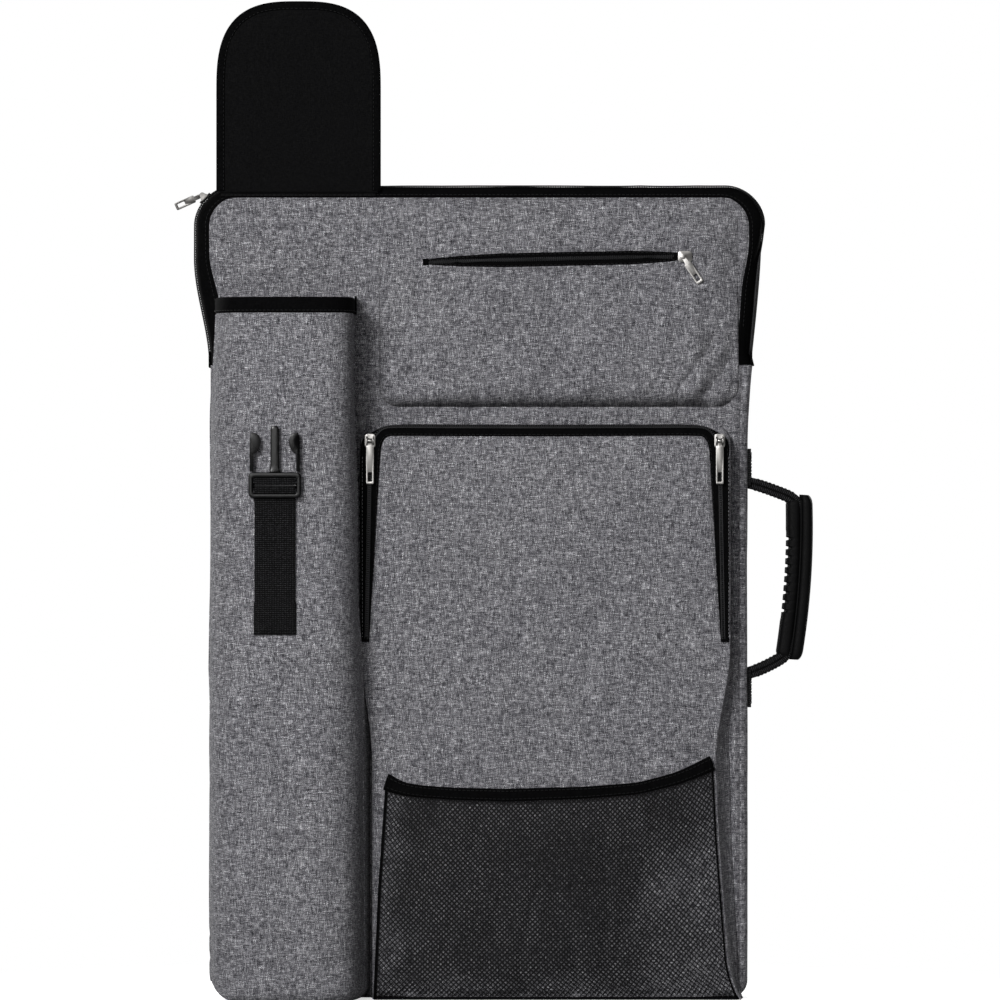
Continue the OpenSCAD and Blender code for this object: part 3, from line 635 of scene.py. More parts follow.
def tuck(z, sgn):
    """How far the open zip draws the seam in, on the left (-1) or right (1)."""
    return 4.6 * bump(z, 490, 512, 556, 598) if sgn > 0 else 5.0 * bump(z, 488, 515, 548, 592)


def outline(inset, top, r, seam):
    """Counter-clockwise from the bottom left corner, with the same number of points for every inset."""
    zr = np.concatenate([np.linspace(FOOT_RIGHT, 435, 72), np.linspace(435, 600, 34)[1:]])
    zl = np.concatenate([np.linspace(585, 500, 20), np.linspace(500, FOOT_LEFT, 82)[1:]])
    right = side_x(zr, FLARE_RIGHT, inset, top) - seam * tuck(zr, 1)
    left = side_x(zl, FLARE_LEFT, inset, top) - seam * tuck(zl, -1)
    x0, x1 = -W / 2 + FOOT_LEFT, W / 2 - FOOT_RIGHT
    cx, cz = W / 2 + FLARE - top - r, H - inset - r
    parts = [
        arc(x0, FOOT_LEFT, FOOT_LEFT - inset, 180, 270, 16),
        np.stack([np.linspace(x0, x1, 70)[1:-1], np.full(68, inset)], 1),
        arc(x1, FOOT_RIGHT, FOOT_RIGHT - inset, 270, 360, 12)[:-1],
        np.stack([right, zr], 1),
        arc(cx, cz, r, 4, 90, 18),
        np.stack([np.linspace(cx, -cx, 76)[1:-1], np.full(74, H - inset)], 1),
        arc(-cx, cz, r, 90, 176, 18),
        np.stack([-left, zl], 1)[:-1]]
    return np.concatenate(parts)


OUT = outline(0, 0, TOP_R, False)
SEAM = outline(SEAM_IN, SEAM_TOP, SEAM_R, True)
N_OUT = len(OUT)
ZIP_A = int(min(i for i in range(N_OUT) if OUT[i, 0] > 0 and OUT[i, 1] >= 497))
ZIP_B = int(max(i for i in range(N_OUT) if OUT[i, 0] < 0 and OUT[i, 1] >= 500))


def edge_points(s, inset, y, idx):
    """Points between the outer line (s = 0) and the seam line (s = 1) at outline vertices idx."""
    idx = np.asarray(idx)
    share = np.broadcast_to(np.asarray(s, float), (len(idx),)).reshape(-1, 1, 1)
    L = OUT + (SEAM - OUT) * share
    k = np.arange(len(idx))
    a, b, c = L[k, (idx - 1) % N_OUT], L[k, idx % N_OUT], L[k, (idx + 1) % N_OUT]
    t = unit(c - a)
    q = b + np.stack([-t[:, 1], t[:, 0]], 1) * np.asarray(inset, float).reshape(-1, 1)
    return np.stack([q[:, 0], np.broadcast_to(y, (len(idx),)), q[:, 1]], 1)


def seam_x(z, sgn):
    """Where the seam line is at height z, on the left (-1) or right (1)."""
    z = np.asarray(z, float)
    r = FOOT_RIGHT if sgn > 0 else FOOT_LEFT
    x = side_x(z, FLARE_RIGHT if sgn > 0 else FLARE_LEFT, SEAM_IN, SEAM_TOP) - tuck(z, sgn)
    x = np.where(z < r, W / 2 - r + np.sqrt(np.maximum((r - SEAM_IN) ** 2 - (r - z) ** 2, 0)), x)
    x = np.where(z > ROUND_Z, SEAM_CX + np.sqrt(np.maximum(SEAM_R ** 2 - (z - ROUND_Z) ** 2, 0)), x)
    return sgn * x


def spaced(a, b, n, ends=0.6):
    """n numbers from a to b, closer together towards both ends."""
    t = np.linspace(0, 1, n)
    return lerp(a, b, lerp(t, (1 - np.cos(math.pi * t)) / 2, ends))


def case_sheet(name, y0, out, nz=150, nx=110, wave=0.8, curl=1.6):
    """A front or back sheet of the case: flat, with its rim rolled into the seam. out is -1 for the front."""
    quarter = np.linspace(0, math.pi / 2, 14)
    zs = np.concatenate([SEAM_IN + 20 * (1 - np.cos(quarter)), np.linspace(SEAM_IN + 20, ROUND_Z, nz)[1:-1],
                         ROUND_Z + SEAM_R * np.sin(quarter)])
    u = spaced(0, 1, nx, 0.8)
    P = np.zeros((len(zs), nx, 3))
    xl, xr = seam_x(zs, -1), seam_x(zs, 1)
    P[..., 0] = xl[:, None] + (xr - xl)[:, None] * u
    P[..., 2] = zs[:, None]
    d = np.minimum(np.minimum(P[..., 0] - xl[:, None], xr[:, None] - P[..., 0]),
                   np.minimum(P[..., 2] - SEAM_IN, SEAM_Z - P[..., 2]))
    P[..., 1] = y0
    soft = ease(d / 25)
    P[..., 1] += out * wave * noise_field(P, 110, 3 + out, 2) * soft
    P[..., 1] -= out * curl * (1 - ease(d / 3.2))
    P[..., 1] += out * 0.5 * bump(d, 2.5, 5, 8, 18)
    return facing(name, P, out)


# ---------------------------------------------------------------- case body

for side, out, waves in (("front", -1, 0.8), ("back", 1, 1.6)):
    ob = case_sheet(side + "_cloth", out * HD, out, wave=waves)
    thicken(ob, 1.2)
    piece(ob, GREY, "case", side + "_panel")
for side, out, under in (("front", -1, "front_foam"), ("back", 1, "back_board")):
    ob = case_sheet(side + "_inside", out * 16.2, -out, 90, 60, wave=0.5, curl=-1.2)
    piece(ob, LINING, "case", side + "_lining", under)

# The gusset: one band from zip end to zip end, rounded over both edges and gathered a little at the corners.
gi = np.concatenate([np.arange(ZIP_B, N_OUT), np.arange(0, ZIP_A + 1)])
gy = np.concatenate([[-18.4, -19.4], -spaced(-20, 20, 29, 0.7)[::-1], [19.4, 18.4]])
gs = np.where(np.abs(gy) > 12, 1 - np.sqrt(np.clip(1 - ((np.abs(gy) - 12) / 8) ** 2, 0, 1)), 0.0)
gs[[0, -1]] = 1.05
gs[[1, -2]] = 1.02
P = np.stack([edge_points(s, 0, y, gi) for s, y in zip(gs, gy)], 1)
depth = 0.9 * np.clip(noise_field(P, (90, 22, 90), 5, 2) + 0.25, 0, 1.3) * (1 - np.clip(np.abs(gy) / 19, 0, 1) ** 6)
inward = unit(-(OUT[gi] - np.array([0, H / 2])) * [1, 0.6])
P[..., 0] += depth * inward[:, None, 0]
P[..., 2] += np.where(P[..., 2] < 30, np.abs(depth) * 0.3, depth * inward[:, None, 1] * 0.3)
P[..., 2] = np.maximum(P[..., 2], 0.0)
d = lengths(OUT[gi])
UV = np.stack([np.broadcast_to(gy, P.shape[:2]), np.broadcast_to(d[:, None], P.shape[:2])], -1)
ob = grid("gusset_cloth", P, UV)
thicken(ob, 1.4)
piece(ob, GREY, "case", "side_gusset")

NODES["bottom_board"].data.materials.clear()
NODES["bottom_board"].data.materials.append(LINING)
bevel(NODES["bottom_board"], 0.6)

# ---------------------------------------------------------------- main zip

zi = np.arange(ZIP_A, ZIP_B + 1)
zn = len(zi)
path_len = lengths(OUT[zi])
from_b = path_len[-1] - path_len
# open from the slider at the top left corner to just short of the right end
zopen = ease((path_len - 96) / 34) * ease((from_b - 133) / 31)
right_side = bump(path_len, 0, 10, 78, 112)


def zip_surface(side, seed):
    """Points of one half of the zip from its seam to its free edge, and the free edge itself."""
    edge_y = side * lerp(0.7, 14.2, zopen) - 9.0 * right_side
    edge_s = lerp(0, -0.12, zopen) + 0.34 * right_side
    if side < 0:
        knots = [(1.04, 1.3, np.full(zn, -18.6)), (1.0, 0.2, np.full(zn, -19.8)),
                 (lerp(0.55, 0.62, zopen) + 0.15 * right_side, 0, -lerp(17.9, 19.2, zopen) + 0.5 * right_side),
                 (0.12 + 0.4 * right_side, 0, -lerp(13.5, 17.6, zopen)), (edge_s, 0, edge_y)]
    else:
        knots = [(1.04, 1.3, np.full(zn, 18.6)), (1.0, 0.2, np.full(zn, 19.8)),
                 (lerp(0.5, 0.62, zopen), 0, lerp(17.9, 19.2, zopen)),
                 (0.06 * (1 - right_side), 0, lerp(13, 17.6, zopen) - 2 * right_side), (edge_s, 0, edge_y)]
    K = np.stack([edge_points(np.broadcast_to(s, (zn,)), np.full(zn, i), y, zi) for s, i, y in knots], 1)
    t = np.array([0, 0.06, 0.34, 0.7, 1.0])
    tt = np.concatenate([[0, 0.03, 0.06], np.linspace(0.1, 1, 15)])
    P = np.stack([np.stack([np.interp(tt, t, K[i, :, k]) for k in range(3)], 1) for i in range(zn)])
    for _ in range(2):
        P[:, 3:-1] = (P[:, 2:-2] + 2 * P[:, 3:-1] + P[:, 4:]) / 4
    ripple = noise_field(P, (16, 60, 16), seed, 2) * 0.9 * np.linspace(0, 1, P.shape[1]) ** 1.5 * zopen[:, None]
    P[..., 1] += ripple
    drop = noise_field(P, 55, seed + 4, 1) * 1.1 * np.linspace(0, 1, P.shape[1]) * zopen[:, None]
    P[..., 2] -= np.abs(drop) * (P[..., 2] > 600)
    return P


def out_normal(idx):
    t = unit(OUT[(idx + 1) % N_OUT] - OUT[(idx - 1) % N_OUT])
    return np.stack([t[:, 1], np.zeros(len(idx)), -t[:, 0]], 1)


ZN = out_normal(zi)
coil, seams = [], []
for side, tag in ((-1, "front"), (1, "back")):
    P = zip_surface(side, 21 + side)
    if side > 0:
        P = P[:, ::-1]
    UV = np.stack([np.broadcast_to(np.arange(P.shape[1]) * 1.3, P.shape[:2]),
                   np.broadcast_to(path_len[:, None], P.shape[:2])], -1)
    ob = grid("main_tape_" + tag, P, UV)
    thicken(ob, 1.0)
    piece(ob, TAPE, "case", "main_zip_tape_" + tag)
    if side > 0:
        P = P[:, ::-1]
    edge = P[:, -1] + ZN * 0.35
    towards = np.tile([0.0, -side, 0.0], (zn, 1))
    coil.append(teeth(edge - towards * 1.6, towards, ZN, 1.9, 3.0, 1.15, 1.7, 0.0 if side < 0 else 0.95))
    seams.append(stitches(edge_points(0.86, -0.1, side * 19.4, zi[6:-6]), ZN[6:-6] + [0, side * 0.8, 0]))
    # the cord that the teeth are sewn to
    coil.append(section_sweep(edge - towards * 1.3 + ZN * 0.5, towards, ellipse(0.55, 0.55), caps=False))
piece(joined("main_coils", coil), NYLON, "case", "main_zip_coils")
piece(joined("main_zip_stitching", seams), BLACK_THREAD, "case")

# cloth ends sewn over both ends of the zip
for name, i0, sgn in (("zip_end_right", ZIP_A + 1, 1), ("zip_end_left", ZIP_B - 1, -1)):
    c = edge_points(0.1 if sgn < 0 else 0.3, -1.0, 0.0 if sgn < 0 else -6.0, [i0])[0]
    pts = [c + np.array([sgn * 0.6, y, dz]) for y, dz in ((-9, 0), (-4, 0.4), (0, 0.5), (4, 0.4), (9, 0))]
    piece(swept(name, resample(rounded_path(pts), n=16), (0, 0, 1), strap_section(13, 1.6)), BINDING, "case")

# ---------------------------------------------------------------- tube pocket

TX, TY, TA, TB, TN = -154.5, -48.9, 56.0, 56.1, 3.0


def tube_curve(n):
    """The tube pocket's section from its left foot round the front to its right foot, as x and y."""
    a = np.linspace(math.pi - 0.6, 2 * math.pi + 0.6, 1600)
    c, s = np.cos(a), np.sin(a)
    k = np.where(c > 0, 4.4, TN)
    p = np.stack([TX + TA * squared(c, k), TY + TB * squared(s, k)], 1)
    return resample(p[p[:, 1] <= -19.6], n=n)


TUBE = tube_curve(170)
TUBE_T = tangents(TUBE)
TUBE_N = np.stack([TUBE_T[:, 1], -TUBE_T[:, 0], 0 * TUBE_T[:, 0]], 1)
TUBE_D = lengths(TUBE)


def tube_surface(zs, out=0.0):
    """The pocket's cloth at heights zs, moved out by that much, with the waves that the cloth has there."""
    zs = np.asarray(zs, float)
    P = np.zeros((len(zs), len(TUBE), 3))
    P[..., 0], P[..., 1], P[..., 2] = TUBE[:, 0], TUBE[:, 1], zs[:, None]
    back = np.clip((TUBE[:, 1] + 105) / 85, 0, 1)
    spread = 4 * ease((470 - zs) / 90) + 9.5 * ease((330 - zs) / 130)
    P[..., 0] += np.where(TUBE[:, 0] > TX, back, 0) * spread[:, None]
    narrow = 4.2 * ease((zs - 440) / 110)
    P[..., 0] += np.where(TUBE[:, 0] < TX, np.clip((TX - TUBE[:, 0]) / TA, 0, 1), 0) * narrow[:, None]
    foot = ease(np.minimum(TUBE_D, TUBE_D[-1] - TUBE_D) / 30)
    strap = bump(P[..., 0], -190, -178, -140, -128) * bump(P[..., 2], 262, 284, 420, 445) * (TUBE[:, 1] < -90)
    rim = 1 - 0.75 * ease((zs[:, None] - 515) / 30)
    w = 1.7 * noise_field(P, (62, 62, 190), 31, 2) + 0.55 * noise_field(P, (24, 24, 60), 33, 2)
    w += 0.8 * folds(P, (0.05, 0, 1), 46, 260, 34, 2.5) * bump(P[..., 2], 20, 80, 480, 530)
    w -= 1.3 * folds(P, (1, 0, 0.25), 30, 90, 36, 3) * (1 - ease((P[..., 2] - 30) / 70)) * (P[..., 2] > 8)
    P += TUBE_N * (w * foot * rim * (1 - 0.9 * strap) + out)[..., None]
    return P


th = np.linspace(0, math.pi / 2, 9)
zs = np.concatenate([11 * (1 - np.cos(th)), np.linspace(11, 548, 150)[1:]])
inset = np.concatenate([11 * (1 - np.sin(th)), np.zeros(149)])
P = tube_surface(zs)
P -= TUBE_N * inset[:, None, None]
round_foot = np.sqrt(np.maximum(FOOT_LEFT ** 2 - (FOOT_LEFT - zs) ** 2, 0))
limit = np.where(zs < FOOT_LEFT, 0.5 + FOOT_LEFT - W / 2 - round_foot, -W)
P[..., 0] = np.maximum(P[..., 0], limit[:, None])
P[..., 2] = np.maximum(P[..., 2], 0.25)
hub = np.array([TX, -42, 0.25])
base = [hub + (P[0] - hub) * f for f in (0.02, 0.35, 0.7)]
P = np.concatenate([np.stack(base), P])
UV = np.stack([np.broadcast_to(TUBE_D, P.shape[:2]), P[..., 2]], -1)
ob = grid("tube_pocket_cloth", P, UV)
thicken(ob, 1.3)
piece(ob, GREY, "case", "tube_pocket_shell")

mid = tube_surface([545.8])[0]
sec = strap_section(12.6, 3.3, 1.6)
sec[:, 1] -= 0.7
piece(swept("tube_pocket_rim", mid, (0, 0, 1), sec), BINDING, "case", "tube_pocket_binding")
low = tube_surface([541.6], 1.05)[0]
rows = [stitches(low[6:-6], TUBE_N[6:-6])]
sewn("tube_pocket_rim_stitching", rows)

# the end of the binding is folded over and sewn down on the right, where the pocket's edge seam starts
tab = mid[-14:-3] + TUBE_N[-14:-3] * 1.5 + np.array([0, 0, 1.2])
piece(swept("tube_pocket_rim_end", tab, (0, 0, 1), strap_section(14.5, 1.5)), BINDING, "case")
for k, name in ((-22, "tube_pocket_edge_right"), (22, "tube_pocket_edge_left")):
    col = tube_surface(np.linspace(15, 539, 170), 0.15)[:, k]
    piece(swept(name, col, (1, 0, 0), ellipse(0.7, 0.55)), GREY, "case")

# ---------------------------------------------------------------- flap over the tube pocket

FX, FZ0, FZ1 = -142.5, 637.0, 715.0      # the middle, the hinge line, and where the round end starts
HINGE_Z = 634                            # the line that the flap turns on


def flap_top(x, hw=64.5, h=72.0):
    return FZ1 + h * np.clip(1 - np.abs((x - FX) / hw) ** 3, 0, 1) ** (1 / 3)


def flap_sheet(name, y, out, hw=62.5, h=70.0, n=70, m=80, puff=0.5, seed=5):
    a = np.linspace(-math.pi / 2, math.pi / 2, n)
    xs = FX + hw * lerp(a / (math.pi / 2), np.sin(a), 0.85)
    top = flap_top(xs, hw, h)
    v = np.linspace(0, 1, m)
    P = np.zeros((m, n, 3))
    P[..., 0] = xs
    P[..., 2] = FZ0 - 1 + v[:, None] * (top - FZ0 + 1)
    e = np.minimum(np.minimum(hw - np.abs(P[..., 0] - FX), top - P[..., 2]), 30)
    P[..., 1] = y + out * (puff * ease(e / 26) + 0.5 * noise_field(P, 70, seed, 2) * ease(e / 12))
    return facing(name, P, out)


ob = flap_sheet("flap_lining_cloth", -22.7, -1, puff=0.9)
thicken(ob, 0.9)
piece(ob, LINING, "tube_flap", "tube_flap_lining", "tube_flap_foam")
ob = flap_sheet("flap_outer_cloth", -20.3, 1, puff=0.25, seed=8)
thicken(ob, 0.9)
piece(ob, GREY, "tube_flap", "tube_flap_shell")

a = np.linspace(math.pi, 0, 90)
hwb, hb = 61.4, 68.8
arch = np.stack([FX + hwb * squared(np.cos(a), 3), np.zeros(90), FZ1 + hb * squared(np.sin(a), 3)], 1)
path = resample(np.concatenate([[[FX - hwb, 0, FZ0 + 0.5]], arch, [[FX + hwb, 0, FZ0 + 0.5]]]), step=2.0)
path[:, 1] = -21.5
T = tangents(path)
path[:, 1] += 0.25 * noise_field(path, 18, 9, 2)
t = np.linspace(0, 2 * math.pi, 20, endpoint=False)
sec = np.stack([2.3 * np.cos(t), 3.6 * squared(np.sin(t), 2 / 0.55)], 1)
piece(swept("flap_rim", path, (0, 1, 0), sec), BINDING, "tube_flap", "tube_flap_binding")
inner = path + np.cross(T, [0, 1, 0]) * -2.2
rows = [stitches(inner + [0, -2.25, 0], (0, -1, 0)), stitches(inner + [0, 2.25, 0], (0, 1, 0))]
sewn("flap_rim_stitching", rows, "tube_flap")

# the cloth the flap turns on: sewn to the case below the zip, and to the flap above it
zs = np.linspace(633.2, 641.8, 20)
xs = np.linspace(-204, -81.5, 90)
P = np.zeros((len(zs), len(xs), 3))
turned = ease((zs[:, None] - HINGE_Z) / 6)
P[..., 0] = lerp(xs, FX + (xs + 142.75) * 1.012, turned)
P[..., 2] = zs[:, None]
P[..., 1] = -21.0 - 1.2 * turned - 0.35 * np.abs(noise_field(P, 30, 12, 2))
P[..., 1] -= 0.4 * bump(zs[:, None], 633, 636, 638, 641)
ob = grid("flap_hinge_cloth", P, P[..., [0, 2]])
thicken(ob, 1.4)
piece(ob, BLACK, None, "tube_flap_hem")
rows = [stitches(np.stack([xs, np.full(90, -21.15), np.full(90, HINGE_Z + 0.3)], 1), (0, -1, 0))]
sewn("flap_hinge_stitching", rows)
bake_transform(ob)

# ---------------------------------------------------------------- buckle straps


def box_lines(cx, cz, w, h, cross=True):
    """The four sides of a sewn rectangle, and the cross in it."""
    a = [(cx - w / 2, cz - h / 2), (cx + w / 2, cz - h / 2), (cx + w / 2, cz + h / 2), (cx - w / 2, cz + h / 2)]
    return [(a[k], a[(k + 1) % 4]) for k in range(4)] + ([(a[0], a[2]), (a[1], a[3])] if cross else [])


def box_stitch(cx, cz, w, h, y, out, cross=True):
    """A sewn rectangle on a face that looks along out (+1 or -1 in Y)."""
    return [stitches(np.array([(p[0], y, p[1]), (r[0], y, r[1])]), (0, out, 0), 2.6, 2.0, 0.24)
            for p, r in box_lines(cx, cz, w, h, cross)]


def strap_path(x, points, times=2):
    return rounded_path([(x, y, z) for y, z in points], times)


BX = -159.0
path = strap_path(BX, [(-105.9, 288.2), (-106.1, 300), (-106.2, 313.6)], 1)
piece(webbing("buckle_strap_hem", path, 33.2, 1.7), WEB, "case", "buckle_strap_patch")
pts = [(-107.2, 290.5), (-107.4, 304), (-107.5, 318), (-107.7, 345), (-107.8, 380), (-108.3, 392), (-110.6, 399),
       (-112.2, 403.5), (-112.6, 408),
       (-111.2, 412.6), (-108.2, 413.2), (-106.9, 408), (-106.7, 396), (-106.8, 380)]
ob = piece(webbing("buckle_strap_web", strap_path(BX, pts), 32, 1.25, 1.2), WEB, None, "buckle_strap")
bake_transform(ob)
sewn("buckle_strap_stitching", box_stitch(BX, 300.5, 27, 20, -108.05, -1))

piece(webbing("flap_patch_web", strap_path(BX, [(-18.6, 727), (-18.6, 750), (-18.6, 780.5)], 1), 32, 1.3), WEB,
      "tube_flap", "flap_strap_patch")
sewn("flap_patch_stitching", box_stitch(BX, 738, 27, 18, -17.85, 1) + box_stitch(BX, 767, 27, 20, -17.85, 1),
     "tube_flap")
loop = [(-11.6 + 3.2 * math.sin(t), 718 - 3.2 * math.cos(t)) for t in np.radians([-60, -20, 20, 60, 100, 140])]
pts = [(-18.9, 773), (-19.0, 778.5), (-18.6, 781.0), (-17.8, 781.8), (-16.9, 781.0), (-16.6, 777), (-15.6, 765),
       (-13.6, 738), (-13.9, 724),
       (-14.6, 719)] + loop + [(-10.3, 722.5), (-11.4, 733), (-12.6, 748), (-13.3, 756)]
ob = piece(webbing("flap_strap_web", strap_path(BX, pts), 32, 1.15, 1.2), WEB, None, "flap_strap")
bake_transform(ob)
sewn("flap_strap_stitching", box_stitch(BX, 742, 27, 12, -11.6, 1, False), "flap_strap")

for n, w in (("buckle_socket", 0.9), ("buckle_plug", 0.7), ("buckle_prong_left", 0.6), ("buckle_prong_right", 0.6),
             ("ladder_lock_left", 0.5), ("ladder_lock_right", 0.5)):
    finish_in(NODES[n], BUCKLE)
    bevel(NODES[n], w, 3)
for n in NODES:
    if "slider" in n or "zip_pull" in n:
        finish_in(NODES[n], GUNMETAL if n.startswith("main") else METAL)
        bevel(NODES[n], 0.28 if "pull" in n else 0.35, 2)

# ---------------------------------------------------------------- upper pocket

UX0, UX1, UZ0, UZ1 = -79.0, 205.0, 467.0, 629.5
SX0, SX1, SLIT_Z = -44.0, 169.0, 585.5


def slit_z(x):
    return SLIT_Z + (np.asarray(x, float) - 162) * 0.021


def slit_h(x):
    """Half the gap between the cloth's edges at the slit."""
    x = np.asarray(x, float)
    return 0.35 + 5.2 * np.clip(np.clip((x - SX0) / 62, 0, 1) * np.clip((SX1 - x) / 50, 0, 1), 0, 1) ** 0.42


def rim_distance(x, z):
    """How far inside the pocket's round-cornered rim a point is."""
    cx, cz = (UX0 + UX1) / 2, (UZ0 + UZ1) / 2
    qx, qz = np.abs(x - cx) - (UX1 - UX0) / 2 + 16, np.abs(z - cz) - (UZ1 - UZ0) / 2 + 16
    return -(np.hypot(np.maximum(qx, 0), np.maximum(qz, 0)) + np.minimum(np.maximum(qx, qz), 0) - 16)


def upper_y(P):
    d = rim_distance(P[..., 0], P[..., 2])
    y = -20.2 - 9.6 * (1 - (1 - np.clip(d / lerp(40, 20, ease((505 - P[..., 2]) / 30)), 0, 1)) ** 2.4)
    soft = ease(d / 22)
    y -= 1.2 * noise_field(P, (70, 70, 60), 41, 2) * soft
    corner = ease((P[..., 0] - 110) / 70) * ease((560 - P[..., 2]) / 70)
    y += 4.2 * folds(P, (0.55, 0, 1.0), 30, 120, 44, 1.6) * corner * ease(d / 6)
    y += 2.0 * folds(P, (1.0, 0, -0.35), 30, 120, 47, 2.0) * ease((P[..., 2] - 560) / 40) * ease(d / 8)
    y += 2.0 * folds(P, (0.2, 0, 1.0), 28, 130, 49, 2.0) * ease((-10 - P[..., 0]) / 45) * ease(d / 8)
    return y


def warp_rows(zr, xs):
    """Row heights bent so that two of them follow the slit's edges."""
    Z = np.zeros((len(zr), len(xs)))
    c, h = slit_z(xs), slit_h(xs)
    for i, z in enumerate(zr):
        s = z - SLIT_Z
        fade = np.clip(1 - abs(s) / 42, 0, 1)
        Z[i] = z + fade * (c - SLIT_Z) + np.sign(s) * fade * np.maximum(h - 0.35, 0)
    return Z


zr = np.concatenate([SLIT_Z + 0.35 - np.cumsum(np.concatenate([[0.7], np.full(8, 1.3),
                                                               np.linspace(1.6, 2.3, 50)]))[::-1],
                     SLIT_Z - 0.35 + np.cumsum(np.concatenate([[0.7], np.full(6, 1.3), np.linspace(1.6, 2.3, 19)]))])
zr = zr[(zr > UZ0) & (zr < UZ1)]
zr = np.concatenate([[UZ0], zr, [UZ1]])
xs = np.concatenate([spaced(UX0, SX0, 18, 0.3), np.linspace(SX0, SX1, 120)[1:-1], spaced(SX1, UX1, 18, 0.3)])
Z = warp_rows(zr, xs)
P = np.zeros((len(zr), len(xs), 3))
P[..., 0] = xs
P[..., 2] = Z
d = rim_distance(P[..., 0], P[..., 2])
cx, cz = (UX0 + UX1) / 2, (UZ0 + UZ1) / 2
over = np.maximum(-d, 0)[..., None] * unit(np.stack([np.sign(P[..., 0] - cx), 0 * d, np.sign(P[..., 2] - cz)], -1))
P -= over
P[..., 1] = upper_y(P)
keep = np.ones((len(zr) - 1, len(xs) - 1), bool)
gap = int(np.argmax(np.diff(np.sign(zr - SLIT_Z)) > 0))
inside = (xs[:-1] >= SX0 - 0.01) & (xs[1:] <= SX1 + 0.01)
keep[gap, inside] = False
ob = grid("upper_pocket_cloth", P, P[..., [0, 2]], keep=keep)
pin = np.clip(1.0 - rim_distance(P[..., 0], P[..., 2]) / 9, 0, 1).ravel()
pin = np.maximum(pin, np.clip(1.15 - np.abs(P[..., 2] - slit_z(P[..., 0])).ravel() / 16, 0, 1)
                 * ((P[..., 0] > SX0 - 6) & (P[..., 0] < SX1 + 6)).ravel())
relax(ob, pin, grow=0.012, pressure=0.6, frames=14, cap=3.0, bend=1.2)


def pull(P, a, b, width, depth):
    """A pulled fold from a to b (x, z): a crease of this depth with a low ridge beside it, faded at both ends."""
    a, b = np.array(a, float), np.array(b, float)
    t = (b - a) / np.linalg.norm(b - a)
    r = P[:, [0, 2]] - a
    s, w = r @ t / np.linalg.norm(b - a), (r @ [-t[1], t[0]]) / width
    return depth * (np.exp(-w ** 2) - 0.8 * np.exp(-(w - 1.7) ** 2)) * ease((s + 0.15) / 0.35) * ease((1.15 - s) / 0.35)


co = np.array([v.co for v in ob.data.vertices]) / MM
FOLDS = [  # from, to, width, depth
    ((176, 474), (203, 512), 5.0, 3.4), ((192, 470), (206, 500), 3.2, -1.8), ((183, 480), (181, 556), 6.5, 2.0),
    ((150, 478), (190, 483), 5.0, -1.6), ((168, 606), (200, 618), 5.0, 1.8), ((178, 588), (201, 570), 6.0, 1.6),
    ((-70, 520), (-66, 610), 6.0, 1.8), ((-72, 476), (-48, 500), 5.0, 2.2), ((-60, 472), (-10, 478), 5.0, -1.4),
    ((-48, 588), (-74, 600), 5.0, 1.2)]
dy = sum(pull(co, *fold) for fold in FOLDS)
past_slit = (co[:, 0] > SX1 + 4) | (co[:, 0] < SX0 - 4)
dy *= ease(rim_distance(co[:, 0], co[:, 2]) / 7) * ease((np.abs(co[:, 2] - slit_z(co[:, 0])) - 2 + 99 * past_slit) / 8)
for v, d_ in zip(ob.data.vertices, dy):
    v.co.y += d_ * MM
thicken(ob, 1.2)
piece(ob, GREY, "case", "upper_pocket_front")

# black cloth behind the slit: partly the pocket's lining, partly painted shade, a black strip only as big as the
# opening, standing for the shade inside the pocket
xs2, zs2 = np.linspace(SX0 - 6, SX1 + 6, 80), np.linspace(-14, 12, 14)
P = np.zeros((14, 80, 3))
P[..., 0] = xs2
P[..., 2] = slit_z(xs2) + zs2[:, None]
P[..., 1] = -24.2 + 1.0 * noise_field(P, 22, 52, 2)
piece(grid("upper_pocket_lining_and_painted_shade", P, P[..., [0, 2]]), LINING, "case")

parts, coil, rows = [], [], []
xs3 = np.linspace(SX0 + 0.6, SX1 - 1.5, 150)
for sgn, w in ((1, 4.2), (-1, 5.0)):
    edge = np.stack([xs3, 0 * xs3, slit_z(xs3) + sgn * slit_h(xs3)], 1)
    edge[:, 1] = upper_y(edge)
    wide = np.minimum(w, slit_h(xs3) * 0.98 + 0.3)
    c = edge + np.stack([0 * xs3, np.full(150, 1.3), -sgn * (wide / 2 - 1.0)], 1)
    base = strap_section(1.0, 1.1, 0.3)
    S = np.stack([base * [k + 2.0, 1] for k in wide])
    parts.append(section_sweep(c, (0, 0, 1), S))
    free = edge + np.stack([0 * xs3, np.full(150, 0.45), -sgn * (wide - 0.6)], 1)
    coil.append(teeth(free[3:-10], (0, 0, -sgn), (0, -1, 0), 1.5, 2.1, 0.95, 1.3, 0.0 if sgn > 0 else 0.75))
    rows.append(stitches(edge[4:-4] + [0, -0.15, sgn * 1.7], (0, -1, 0)))
    rows.append(stitches(edge[4:-4] + [0, 0.68, -sgn * 1.2], (0, -1, 0)))
piece(joined("upper_zip_tapes", parts), TAPE, "case", "upper_zip_lips")
piece(joined("upper_zip_teeth", coil), NYLON, "case")
sewn("upper_zip_stitching", rows[0::2], material=GREY_THREAD)
sewn("upper_zip_tape_stitching", rows[1::2])
for x, name in ((SX0 + 2.0, "upper_zip_stop_left"), (SX1 - 3.2, "upper_zip_stop_right")):
    y = float(upper_y(np.array([[x, 0, float(slit_z(x))]]))[0])
    piece(swept(name, [(x, y - 0.5, slit_z(x) + dz) for dz in (-2.6, -1.3, 0, 1.3, 2.6)], (1, 0, 0),
                strap_section(4.6, 1.3)), BINDING, "case")

# ---------------------------------------------------------------- front pocket

# right edge of the net, by height
ZIP_LEFT, ZIP_RIGHT = -85.7, 189.6    # the two sides of the front zip
ZIP_TOP, ZIP_LEG = 432, 148           # the top of its straight legs, and how long they are
NET_Z = [0, 4, 18, 30, 72, 126, 185]
NET_R = [204.6, 201.6, 196.4, 194.0, 190.6, 186.4, 183.6]


